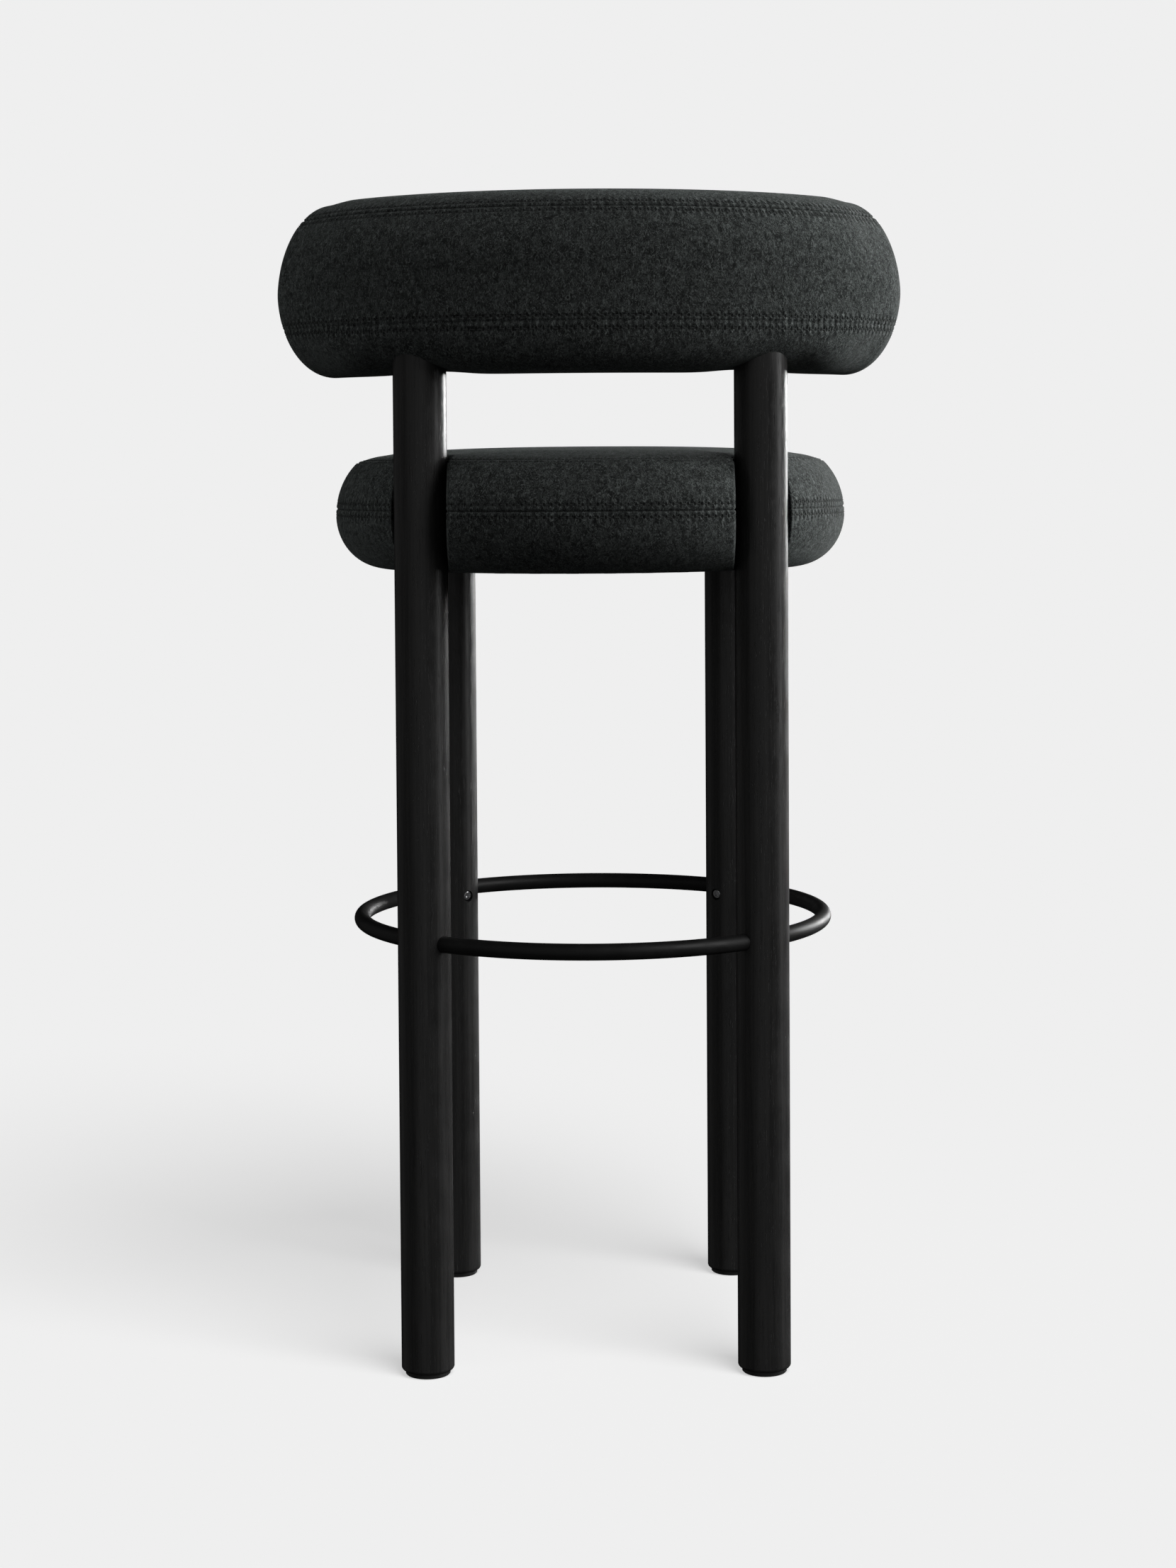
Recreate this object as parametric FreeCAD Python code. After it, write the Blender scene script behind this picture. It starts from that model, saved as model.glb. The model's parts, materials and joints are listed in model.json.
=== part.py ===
"""Bar stool with a round notched seat, a curved padded backrest and a tubular footrest ring.

Millimetres, +Z up. The origin is on the floor under the middle of the seat.
The sitter faces -Y, so the sitter's left is +X. Each STEP file holds one node.
"""
import FreeCAD, Part
import math
import os

V = FreeCAD.Vector
UP = V(0, 0, 1)

# Cutting shapes: how far they run past the surface they open, and the width of the widest ones.
OVERRUN = 1.0
WIDE = 1400.0

# Layout: the footrest ring runs through the axes of all four legs.
RING_R = 205.8
RING_Z = 368.8
LEG_R = 22.5
REAR_LEG_X = 143.0
FRONT_LEG_X = 131.0

# Legs and glides
LEG_ROUND = 3.0
REAR_LEG_TOP = 955.0
FRONT_LEG_TOP = 770.0
GLIDE_R = 19.0
GLIDE_H = 4.0
GLIDE_CHAMFER = 0.8
GLIDE_HEAD_R = 3.6
GLIDE_HEAD_RECESS = 1.0
GLIDE_HEAD_H = 2.0
GLIDE_SCREW_R = 1.75
GLIDE_SCREW_TOP = 24.0

# Footrest
TUBE_R = 7.0
TUBE_WALL = 2.0
SOCKET_GAP = 0.1
TUBE_END_TO_AXIS = 9.0
SOCKET_END_TO_AXIS = 8.5
PIN_R = 4.9
PIN_HALF_LENGTH = 30.0
PIN_HOLE_R = 5.5
LOCK_TILT = math.radians(12.8)
LOCK_R = 2.5
LOCK_TIP = 1.0
LOCK_HEAD_R = 4.25
LOCK_HEAD_H = 5.0
LOCK_HEAD_CHAMFER = 0.6
LOCK_HEAD_DEPTH = 1.2
LOCK_BORE_R = 5.25
LOCK_HEX_FLATS = 4.0
LOCK_HEX_DEPTH = 2.6
THREAD_GAP = 0.05

# Seat
FABRIC = 1.5
LEG_GAP = 0.5
SEAT_SEAM_Z = 733.0
SEAT_TOP_SEAM_Z = 774.0
SEAT_TOP_SEAM_R = 206.5
SEAT_CROWN_Z = 785.5
SEAT_BOTTOM_Z = 680.5
SEAT_FLAT_R = 178.0
SEAT_EDGE_WEIGHT = 1.4
SEAT_SIDE = [(196.0, 683.5), (208.0, 690.0), (216.5, 700.0), (221.5, 712.0), (224.5, 724.0),
             (225.4, SEAT_SEAM_Z), (224.6, 744.0), (221.5, 754.0), (216.0, 763.5)]
SEAT_TOP_EDGE = [(196.0, 779.3), (180.0, 782.2), (130.0, 784.2)]
BOARD_R = 192.0
BOARD_H = 24.0
BOARD_CHAMFER = 6.0
COVER_HOLE_R = 168.0
DUST_COVER_R = 167.0
DUST_COVER_H = 1.2

# Seat to leg fixings, M8
POCKET_WALL_R = 158.0
POCKET_LENGTH = 30.0
POCKET_WIDTH = 26.0
POCKET_H = 20.0
M8_R = 4.0
M8_HOLE_R = 4.4
M8_HEAD_FLATS = 13.0
M8_HEAD_H = 5.3
M8_WASHER_R = 8.0
M8_WASHER_H = 1.6
M8_END = 200.0
INSERT_R = 6.5
INSERT_LENGTH = 18.0
INSERT_SINK = 0.8
INSERT_BORE_EXTRA = 2.0

# Staples through the turned-in edge of the seat cover
STAPLE_COUNT = 36
STAPLE_R = 180.0
STAPLE_WIDTH = 10.0
STAPLE_WIRE = 0.8
STAPLE_PROUD = 0.2
STAPLE_LEG = 8.0

# Backrest: one section swept along an arc, with a half-lathed cap at each end.
BACK_CENTRE = V(0, -103.0, 0)
BACK_R = 270.0
BACK_HALF_THICK = 50.0
BACK_BOTTOM_Z = 847.3
BACK_TOP_Z = 999.5
BACK_TOP_ROUND = 60.0
BACK_BOTTOM_ROUND = 45.0
BACK_HALF_ANGLE = 54.9
BACK_TOP_SEAM_Z = 983.6
BACK_LOW_SEAM_Z = 888.8
CORE_OUTER_R = 270.4
CORE_THICK = 15.0
CORE_Z = (870.0, 965.0)
CORE_HALF_ANGLE = 48.0
CORE_CORNER_R = 25.0

# Backrest fixings, M6
BACK_BOLT_Z = (893.0, 938.0)
M6_R = 3.0
M6_HOLE_R = 3.3
M6_HEAD_R = 5.0
M6_HEAD_H = 6.0
M6_HEX_FLATS = 5.0
M6_HEX_DEPTH = 3.0
M6_LENGTH = 50.0
M6_BORE_R = 6.5
M6_WASHER_R = 6.0
M6_WASHER_H = 1.2
M6_SEAT_R = 301.0
TEE_FLANGE_R = 9.5
TEE_FLANGE_H = 1.5
TEE_BARREL_R = 3.9
TEE_BARREL_H = 10.0

SIDES = {"left": 1, "right": -1}


def leg_axis(end, side):
    """The point where a leg's axis crosses the floor."""
    x = REAR_LEG_X if end == "rear" else FRONT_LEG_X
    y = math.sqrt(RING_R ** 2 - x ** 2)
    return V(SIDES[side] * x, y if end == "rear" else -y, 0)


LEGS = {f"{end}_{side}": leg_axis(end, side) for end in ("rear", "front") for side in SIDES}


def cylinder(r, start, direction, length):
    return Part.makeCylinder(r, length, start, direction)


def tube_of(r_out, r_in, start, direction, length):
    return cylinder(r_out, start, direction, length).cut(cylinder(r_in, start, direction, length))


def unit(v):
    return v * (1.0 / v.Length)


def hexagon(flats, start, direction, length):
    """A hexagonal prism standing on start, along direction."""
    radius = flats / math.sqrt(3)
    points = [V(radius * math.cos(a), radius * math.sin(a), 0)
              for a in (math.radians(60 * i) for i in range(7))]
    prism = Part.Face(Part.makePolygon(points)).extrude(V(0, 0, length))
    prism.Placement = FreeCAD.Placement(start, FreeCAD.Rotation(UP, direction))
    return prism


def lathe(wire):
    """Turns a closed outline in the XZ plane about the Z axis."""
    return Part.Face(wire).revolve(V(0, 0, 0), UP, 360)


def ring_piece(r_out, r_in, start_deg, end_deg):
    """A length of the footrest ring's circle, solid or hollow, between two bearings from +X."""
    start = V(RING_R, 0, RING_Z)
    turned = []
    for r in (r_out, r_in):
        if r:
            circle = Part.Wire(Part.Circle(start, V(0, 1, 0), r).toShape())
            rod = Part.Face(circle).revolve(V(0, 0, 0), UP, end_deg - start_deg)
            rod.rotate(V(0, 0, 0), UP, start_deg)
            turned.append(rod)
    return turned[0].cut(turned[1]) if len(turned) == 2 else turned[0]


def bearing(point):
    return math.degrees(math.atan2(point.y, point.x))


def arc_degrees(length):
    return math.degrees(length / RING_R)


def inward(axis):
    """Level direction from a leg to the middle of the seat."""
    return unit(V(-axis.x, -axis.y, 0))


def at_seat_radius(axis, radius, z):
    """A point on the level line from the seat's middle to a leg, at a radius."""
    return inward(axis) * -radius + UP * z


def group(solids):
    return Part.makeCompound(solids)


# ---- legs, glides and footrest ----

def lock_direction(axis):
    """From the ring's centreline in a leg to the head of its lock screw."""
    return inward(axis) * math.cos(LOCK_TILT) - UP * math.sin(LOCK_TILT)


def lock_head_base(axis):
    """Where the lock screw's head starts, just under the leg's surface."""
    reach = LEG_R / math.cos(LOCK_TILT) - LOCK_HEAD_DEPTH - LOCK_HEAD_H
    return axis + UP * RING_Z + lock_direction(axis) * reach


def leg_blank(axis, top):
    post = cylinder(LEG_R, axis + UP * GLIDE_H, UP, top - GLIDE_H)
    rims = [e for e in post.Edges if isinstance(e.Curve, Part.Circle) and e.isClosed()]
    return post.makeFillet(LEG_ROUND, rims)


def footrest_cuts(axis):
    """Two blind tube sockets, the hole between them and the lock screw's hole."""
    mid = bearing(axis)
    reach = arc_degrees(LEG_R + 2 * TUBE_R)
    end = arc_degrees(SOCKET_END_TO_AXIS)
    hole_r = TUBE_R + SOCKET_GAP
    centre = axis + UP * RING_Z
    out = lock_direction(axis)
    return [ring_piece(hole_r, 0, mid + end, mid + reach),
            ring_piece(hole_r, 0, mid - reach, mid - end),
            ring_piece(PIN_HOLE_R, 0, mid - end - OVERRUN, mid + end + OVERRUN),
            cylinder(LOCK_R + THREAD_GAP, centre, out, LEG_R),
            cylinder(LOCK_BORE_R, lock_head_base(axis), out, LEG_R)]


def seat_bolt_cut(axis, board_z):
    start = at_seat_radius(axis, RING_R - LEG_R - OVERRUN, board_z)
    length = OVERRUN + INSERT_SINK + INSERT_LENGTH + INSERT_BORE_EXTRA
    return cylinder(INSERT_R, start, inward(axis) * -1, length)


def glide_cut(axis):
    return cylinder(GLIDE_SCREW_R, axis, UP, GLIDE_SCREW_TOP)


def back_direction(axis):
    """Level direction from a rear leg to the centre of the backrest's curve."""
    return unit(V(BACK_CENTRE.x - axis.x, BACK_CENTRE.y - axis.y, 0))


def at_back_radius(axis, radius, z):
    return V(BACK_CENTRE.x, BACK_CENTRE.y, z) - back_direction(axis) * radius


def back_leg_cuts(axis):
    """The saddle that the backrest's core lies in, and its two bolt holes."""
    low = V(BACK_CENTRE.x, BACK_CENTRE.y, CORE_Z[0])
    cuts = [cylinder(CORE_OUTER_R, low, UP, REAR_LEG_TOP)]
    for z in BACK_BOLT_Z:
        start = at_back_radius(axis, CORE_OUTER_R - OVERRUN, z)
        rear = at_back_radius(axis, M6_SEAT_R, z)
        out = back_direction(axis) * -1
        cuts.append(cylinder(M6_HOLE_R, start, out, 2 * LEG_R))
        cuts.append(cylinder(M6_BORE_R, rear, out, LEG_R))
    return cuts


def leg(axis, top, board_z):
    cuts = footrest_cuts(axis) + [seat_bolt_cut(axis, board_z), glide_cut(axis)]
    if axis.y > 0:
        cuts += back_leg_cuts(axis)
    return leg_blank(axis, top).cut(cuts)


def glide(axis):
    disc = cylinder(GLIDE_R, axis, UP, GLIDE_H)
    low_rim = [e for e in disc.Edges
               if isinstance(e.Curve, Part.Circle) and e.CenterOfMass.z < GLIDE_H / 2 and e.isClosed()]
    disc = disc.makeChamfer(GLIDE_CHAMFER, low_rim)
    head_room = cylinder(GLIDE_HEAD_R + THREAD_GAP, axis, UP, GLIDE_HEAD_RECESS + GLIDE_HEAD_H)
    return disc.cut([head_room, glide_cut(axis)])


def glide_screw(axis):
    head = cylinder(GLIDE_HEAD_R, axis + UP * GLIDE_HEAD_RECESS, UP, GLIDE_HEAD_H)
    shank = cylinder(GLIDE_SCREW_R, axis + UP * GLIDE_HEAD_RECESS, UP, GLIDE_SCREW_TOP - GLIDE_HEAD_RECESS)
    return head.fuse(shank).removeSplitter()


def footrest_arc(first, second):
    """The tube from one leg's socket round to the next leg's, anticlockwise."""
    gap = arc_degrees(TUBE_END_TO_AXIS)
    start = bearing(first) + gap
    end = bearing(second) - gap
    if end < start:
        end += 360
    return ring_piece(TUBE_R, TUBE_R - TUBE_WALL, start, end)


def joiner_pin(axis):
    mid = bearing(axis)
    half = arc_degrees(PIN_HALF_LENGTH)
    tapped = cylinder(LOCK_R + THREAD_GAP, axis + UP * RING_Z, lock_direction(axis), 2 * PIN_R)
    return ring_piece(PIN_R, 0, mid - half, mid + half).cut(tapped)


def lock_screw(axis):
    out = lock_direction(axis)
    base = lock_head_base(axis)
    head = cylinder(LOCK_HEAD_R, base, out, LOCK_HEAD_H)
    rim = [e for e in head.Edges if isinstance(e.Curve, Part.Circle) and e.isClosed()
           and (e.CenterOfMass - base).dot(out) > LOCK_HEAD_H / 2]
    head = head.makeChamfer(LOCK_HEAD_CHAMFER, rim)
    recess = hexagon(LOCK_HEX_FLATS, base + out * (LOCK_HEAD_H - LOCK_HEX_DEPTH), out, LOCK_HEX_DEPTH)
    start = axis + UP * RING_Z + out * LOCK_TIP
    shank = cylinder(LOCK_R, start, out, (base - start).Length)
    return head.cut(recess).fuse(shank).removeSplitter()


# ---- seat ----

def seat_outline(inset):
    """The seat's half outline in the XZ plane, drawn in by about the inset all the way round."""
    mid_z = (SEAT_BOTTOM_Z + SEAT_CROWN_Z) / 2

    def moved(r, z):
        reach = math.hypot(r - SEAT_FLAT_R, SEAT_EDGE_WEIGHT * (z - mid_z))
        scale = 1 - inset / reach
        return V(SEAT_FLAT_R + (r - SEAT_FLAT_R) * scale, 0, mid_z + (z - mid_z) * scale)

    bottom = V(0, 0, SEAT_BOTTOM_Z + inset)
    flat_end = V(SEAT_FLAT_R, 0, SEAT_BOTTOM_Z + inset)
    seam = moved(SEAT_TOP_SEAM_R, SEAT_TOP_SEAM_Z)
    crown = V(0, 0, SEAT_CROWN_Z - inset)
    side = Part.BSplineCurve()
    side.interpolate(Points=[flat_end] + [moved(*p) for p in SEAT_SIDE] + [seam],
                     InitialTangent=V(1, 0, 0), FinalTangent=V(-1, 0, 1))
    top = Part.BSplineCurve()
    over = [V(r, 0, z - inset) for r, z in SEAT_TOP_EDGE]
    top.interpolate(Points=[seam] + over + [crown],
                    InitialTangent=V(-1, 0, 0.7), FinalTangent=V(-1, 0, 0))
    return Part.Wire([Part.LineSegment(bottom, flat_end).toShape(), side.toShape(),
                      top.toShape(), Part.LineSegment(crown, bottom).toShape()])


def notch(axis, width):
    """The space around a leg in the seat: round on the inside, straight out to front or back."""
    low = axis + UP * (SEAT_BOTTOM_Z - OVERRUN)
    height = SEAT_CROWN_Z - SEAT_BOTTOM_Z + 2 * OVERRUN
    outward = 1 if axis.y > 0 else -1
    depth = 4 * LEG_R
    corner = low + V(-width, 0 if outward > 0 else -depth, 0)
    return cylinder(width, low, UP, height).fuse(Part.makeBox(2 * width, depth, height, corner))


def seat_body(inset):
    body = lathe(seat_outline(inset))
    return body.cut([notch(axis, LEG_R + LEG_GAP + inset) for axis in LEGS.values()])


def slab(z_low, z_high):
    """A wide block between two heights, used to part the cover at its seams."""
    return Part.makeBox(WIDE, WIDE, z_high - z_low, V(-WIDE / 2, -WIDE / 2, z_low))


def bolt_line(axis, r_from, r_to, radius, z):
    return cylinder(radius, at_seat_radius(axis, r_from, z), inward(axis) * -1, r_to - r_from)


def seat_cover(foam_space, board_z):
    """The three panels of the cover, parted at the seams and open underneath."""
    shell = seat_body(0).cut(foam_space)
    opening = cylinder(COVER_HOLE_R, V(0, 0, SEAT_BOTTOM_Z - OVERRUN), UP, OVERRUN + FABRIC)
    bolt_holes = [bolt_line(a, POCKET_WALL_R, RING_R, M8_HOLE_R, board_z) for a in LEGS.values()]
    shell = shell.cut([opening] + bolt_holes)
    return {"seat_cover_top": shell.common(slab(SEAT_TOP_SEAM_Z, SEAT_CROWN_Z + OVERRUN)),
            "seat_cover_upper_band": shell.common(slab(SEAT_SEAM_Z, SEAT_TOP_SEAM_Z)),
            "seat_cover_lower_band": shell.common(slab(SEAT_BOTTOM_Z - OVERRUN, SEAT_SEAM_Z))}


def pocket(axis, board_bottom):
    """The recess in the board's underside that a bolt's head is reached through."""
    block = Part.makeBox(POCKET_LENGTH, POCKET_WIDTH, POCKET_H, V(-POCKET_LENGTH, -POCKET_WIDTH / 2, 0))
    turn = FreeCAD.Rotation(UP, bearing(axis))
    block.Placement = FreeCAD.Placement(at_seat_radius(axis, POCKET_WALL_R, board_bottom), turn)
    return block


def board_blank(board_bottom):
    """The round board with its lower rim chamfered."""
    blank = cylinder(BOARD_R, UP * board_bottom, UP, BOARD_H)
    rim = [e for e in blank.Edges if isinstance(e.Curve, Part.Circle) and e.isClosed()
           and e.CenterOfMass.z < board_bottom + BOARD_H / 2]
    return blank.makeChamfer(BOARD_CHAMFER, rim)


def seat_board(board_bottom, board_z):
    """The board with its notches, bolt pockets and bolt holes."""
    cuts = [notch(a, LEG_R + LEG_GAP + FABRIC) for a in LEGS.values()]
    cuts += [pocket(a, board_bottom) for a in LEGS.values()]
    cuts += [bolt_line(a, POCKET_WALL_R - OVERRUN, RING_R, M8_HOLE_R, board_z) for a in LEGS.values()]
    return board_blank(board_bottom).cut(cuts)


def dust_cover(board_bottom):
    return cylinder(DUST_COVER_R, UP * (board_bottom - DUST_COVER_H), UP, DUST_COVER_H)


def seat_bolt(axis, board_z):
    head_end = POCKET_WALL_R - M8_WASHER_H
    out = inward(axis) * -1
    head = hexagon(M8_HEAD_FLATS, at_seat_radius(axis, head_end - M8_HEAD_H, board_z), out, M8_HEAD_H)
    shank = bolt_line(axis, head_end - OVERRUN, M8_END, M8_R, board_z)
    return head.fuse(shank).removeSplitter()


def seat_washer(axis, board_z):
    start = at_seat_radius(axis, POCKET_WALL_R - M8_WASHER_H, board_z)
    return tube_of(M8_WASHER_R, M8_HOLE_R, start, inward(axis) * -1, M8_WASHER_H)


def leg_insert(axis, board_z):
    start = at_seat_radius(axis, RING_R - LEG_R + INSERT_SINK, board_z)
    return tube_of(INSERT_R, M8_R + THREAD_GAP, start, inward(axis) * -1, INSERT_LENGTH)


def staple(bearing_deg):
    """A wire staple whose crown is pressed into the fabric and whose two legs go up into the board."""
    half = STAPLE_WIDTH / 2
    low = SEAT_BOTTOM_Z - STAPLE_PROUD
    crown = Part.makeBox(STAPLE_WIRE, STAPLE_WIDTH, STAPLE_WIRE, V(STAPLE_R, -half, low))
    legs = [Part.makeBox(STAPLE_WIRE, STAPLE_WIRE, STAPLE_LEG, V(STAPLE_R, y, low))
            for y in (-half, half - STAPLE_WIRE)]
    shape = crown.fuse(legs).removeSplitter()
    shape.rotate(V(0, 0, 0), UP, bearing_deg)
    return shape


def staple_bearings():
    """Evenly spaced bearings, less those that fall on a leg's notch."""
    step = 360.0 / STAPLE_COUNT
    clear = math.degrees((LEG_R + STAPLE_WIDTH) / STAPLE_R)

    def gap(a, b):
        return abs((a - b + 180) % 360 - 180)

    spots = [step * (i + 0.5) for i in range(STAPLE_COUNT)]
    return [s for s in spots if all(gap(s, bearing(a)) > clear for a in LEGS.values())]


# ---- backrest ----

def back_half_face(inset):
    """Half of the backrest's section, from its vertical centreline outward along +X."""
    base = V(BACK_R, 0, 0)
    half = BACK_HALF_THICK - inset
    low = BACK_BOTTOM_Z + inset
    high = BACK_TOP_Z - inset
    top_z = BACK_TOP_Z - BACK_TOP_ROUND
    low_z = BACK_BOTTOM_Z + BACK_BOTTOM_ROUND

    def quarter(centre_z, height, start, end):
        """A quarter of an ellipse, half as thick as the pad, between two angles."""
        curve = Part.Ellipse(base + V(0, 0, centre_z), max(half, height), min(half, height))
        flip = 90 if height > half else 0
        curve.Axis = V(0, -1, 0)
        curve.XAxis = V(0, 0, 1) if height > half else V(1, 0, 0)
        return Part.Arc(curve, math.radians(start - flip), math.radians(end - flip)).toShape()

    edges = [quarter(low_z, low_z - low, 270, 360),
             Part.LineSegment(base + V(half, 0, low_z), base + V(half, 0, top_z)).toShape(),
             quarter(top_z, high - top_z, 0, 90),
             Part.LineSegment(base + V(0, 0, high), base + V(0, 0, low)).toShape()]
    return Part.Face(Part.Wire(Part.sortEdges(edges)[0]))


def padded_bar(half):
    """Sweeps half a section, and its mirror image, round the backrest's arc and closes both ends."""
    base = V(BACK_R, 0, 0)
    arc = 2 * BACK_HALF_ANGLE
    other = half.mirror(base, V(1, 0, 0))
    far_cap = half.revolve(base, UP, 180)
    far_cap.rotate(V(0, 0, 0), UP, arc)
    pieces = [other.revolve(V(0, 0, 0), UP, arc), half.revolve(base, UP, -180), far_cap]
    body = half.revolve(V(0, 0, 0), UP, arc).fuse(pieces).removeSplitter()
    body.rotate(V(0, 0, 0), UP, 90 - BACK_HALF_ANGLE)
    body.translate(BACK_CENTRE)
    return body


def rear_axes():
    return [axis for axis in LEGS.values() if axis.y > 0]


def back_bolt_spots():
    return [(axis, z) for axis in rear_axes() for z in BACK_BOLT_Z]


def back_core():
    """Curved plywood with rounded corners that lies in the legs' saddles."""
    low = V(BACK_CENTRE.x, BACK_CENTRE.y, CORE_Z[0])
    height = CORE_Z[1] - CORE_Z[0]
    inner_r = CORE_OUTER_R - CORE_THICK
    corners = [V(inner_r, 0, 0), V(CORE_OUTER_R, 0, 0), V(CORE_OUTER_R, 0, height),
               V(inner_r, 0, height), V(inner_r, 0, 0)]
    panel = Part.Face(Part.makePolygon(corners)).revolve(V(0, 0, 0), UP, 2 * CORE_HALF_ANGLE)
    across = [e for e in panel.Edges if math.isclose(e.Length, CORE_THICK, rel_tol=0.001)]
    panel = panel.makeFillet(CORE_CORNER_R, across)
    panel.rotate(V(0, 0, 0), UP, 90 - CORE_HALF_ANGLE)
    panel.translate(low)
    through = CORE_THICK + 2 * OVERRUN
    holes = [cylinder(TEE_BARREL_R, at_back_radius(a, inner_r - OVERRUN, z), back_direction(a) * -1, through)
             for a, z in back_bolt_spots()]
    return panel.cut(holes)


def back_bolt(axis, z):
    under_head = at_back_radius(axis, M6_SEAT_R + M6_WASHER_H, z)
    to_core = back_direction(axis)
    shank = cylinder(M6_R, under_head, to_core, M6_LENGTH)
    head = cylinder(M6_HEAD_R, under_head, to_core * -1, M6_HEAD_H)
    recess_start = under_head - to_core * (M6_HEAD_H - M6_HEX_DEPTH)
    recess = hexagon(M6_HEX_FLATS, recess_start, to_core * -1, M6_HEX_DEPTH)
    return head.cut(recess).fuse(shank).removeSplitter()


def back_washer(axis, z):
    start = at_back_radius(axis, M6_SEAT_R, z)
    return tube_of(M6_WASHER_R, M6_HOLE_R, start, back_direction(axis) * -1, M6_WASHER_H)


def tee_nut(axis, z):
    face = at_back_radius(axis, CORE_OUTER_R - CORE_THICK, z)
    to_centre = back_direction(axis)
    flange = cylinder(TEE_FLANGE_R, face + to_centre * TEE_FLANGE_H, to_centre * -1, TEE_FLANGE_H)
    length = TEE_FLANGE_H + TEE_BARREL_H
    barrel = cylinder(TEE_BARREL_R, face + to_centre * TEE_FLANGE_H, to_centre * -1, length)
    through = length + 2 * OVERRUN
    bore = cylinder(M6_R + THREAD_GAP, face + to_centre * (TEE_FLANGE_H + OVERRUN), to_centre * -1, through)
    return flange.fuse(barrel).removeSplitter().cut(bore)


def back_foam(hardware, core):
    """The padding, with room for the legs, the core and its fixings."""
    body = padded_bar(back_half_face(FABRIC))
    length = REAR_LEG_TOP - BACK_BOTTOM_Z
    legs = [cylinder(LEG_R, axis + UP * BACK_BOTTOM_Z, UP, length) for axis in rear_axes()]
    return body.cut(legs + hardware + [core])


def back_cover_panel(z_low, z_high):
    """The stretch of the backrest's cover between two heights, with holes for the legs."""
    strip = Part.Face(Part.makePolygon([V(0, 0, z_low), V(2 * BACK_R, 0, z_low), V(2 * BACK_R, 0, z_high),
                                        V(0, 0, z_high), V(0, 0, z_low)]))
    half = back_half_face(0).cut(back_half_face(FABRIC)).common(strip).Faces[0]
    holes = [cylinder(LEG_R + LEG_GAP, axis, UP, REAR_LEG_TOP) for axis in rear_axes()]
    return padded_bar(half).cut(holes)


def back_cover():
    return {"backrest_cover_top": back_cover_panel(BACK_TOP_SEAM_Z, BACK_TOP_Z + OVERRUN),
            "backrest_cover_band": back_cover_panel(BACK_LOW_SEAM_Z, BACK_TOP_SEAM_Z),
            "backrest_cover_bottom": back_cover_panel(BACK_BOTTOM_Z - OVERRUN, BACK_LOW_SEAM_Z)}


# ---- assembly ----

def base_nodes(board_z):
    nodes = {}
    for name, axis in LEGS.items():
        end, side = name.split("_")
        top = REAR_LEG_TOP if end == "rear" else FRONT_LEG_TOP
        nodes[f"{end}_leg_{side}"] = leg(axis, top, board_z)
        nodes[f"foot_glide_{end}_{side}"] = glide(axis)
    around = ["rear_left", "rear_right", "front_right", "front_left"]
    for i, where in enumerate(("rear", "right", "front", "left")):
        nodes[f"footrest_arc_{where}"] = footrest_arc(LEGS[around[i]], LEGS[around[(i + 1) % 4]])
    nodes["footrest_joiner_pins"] = group([joiner_pin(a) for a in LEGS.values()])
    nodes["footrest_lock_screws"] = group([lock_screw(a) for a in LEGS.values()])
    nodes["glide_screws"] = group([glide_screw(a) for a in LEGS.values()])
    return nodes


def seat_nodes(board_bottom, board_z):
    foam_space = seat_body(FABRIC)
    staples = [staple(b) for b in staple_bearings()]
    nodes = seat_cover(foam_space, board_z)
    nodes["seat_cover_lower_band"] = nodes["seat_cover_lower_band"].cut(staples)
    nodes["seat_board"] = seat_board(board_bottom, board_z).cut(staples)
    nodes["seat_foam"] = foam_space.cut(board_blank(board_bottom))
    nodes["seat_dust_cover"] = dust_cover(board_bottom)
    nodes["seat_cover_staples"] = group(staples)
    nodes["seat_bolts"] = group([seat_bolt(a, board_z) for a in LEGS.values()])
    nodes["seat_bolt_washers"] = group([seat_washer(a, board_z) for a in LEGS.values()])
    nodes["leg_inserts"] = group([leg_insert(a, board_z) for a in LEGS.values()])
    return nodes


def backrest_nodes():
    core = back_core()
    bolts = [back_bolt(a, z) for a, z in back_bolt_spots()]
    washers = [back_washer(a, z) for a, z in back_bolt_spots()]
    tee_nuts = [tee_nut(a, z) for a, z in back_bolt_spots()]
    nodes = back_cover()
    nodes["backrest_core"] = core
    nodes["backrest_foam"] = back_foam(bolts + tee_nuts, core)
    nodes["backrest_bolts"] = group(bolts)
    nodes["backrest_washers"] = group(washers)
    nodes["backrest_tee_nuts"] = group(tee_nuts)
    return nodes


def main():
    board_bottom = SEAT_BOTTOM_Z + FABRIC
    board_z = board_bottom + BOARD_H / 2
    nodes = base_nodes(board_z)
    nodes.update(seat_nodes(board_bottom, board_z))
    nodes.update(backrest_nodes())
    os.makedirs("parts", exist_ok=True)
    for name, shape in nodes.items():
        shape.exportStep(f"parts/{name}.step")
        print(name, len(shape.Solids), "solids", round(shape.Volume / 1000, 2), "cm3", shape.isValid())


main()
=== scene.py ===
import json
import math

import bpy
import numpy as np
from mathutils import Matrix, Vector


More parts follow.
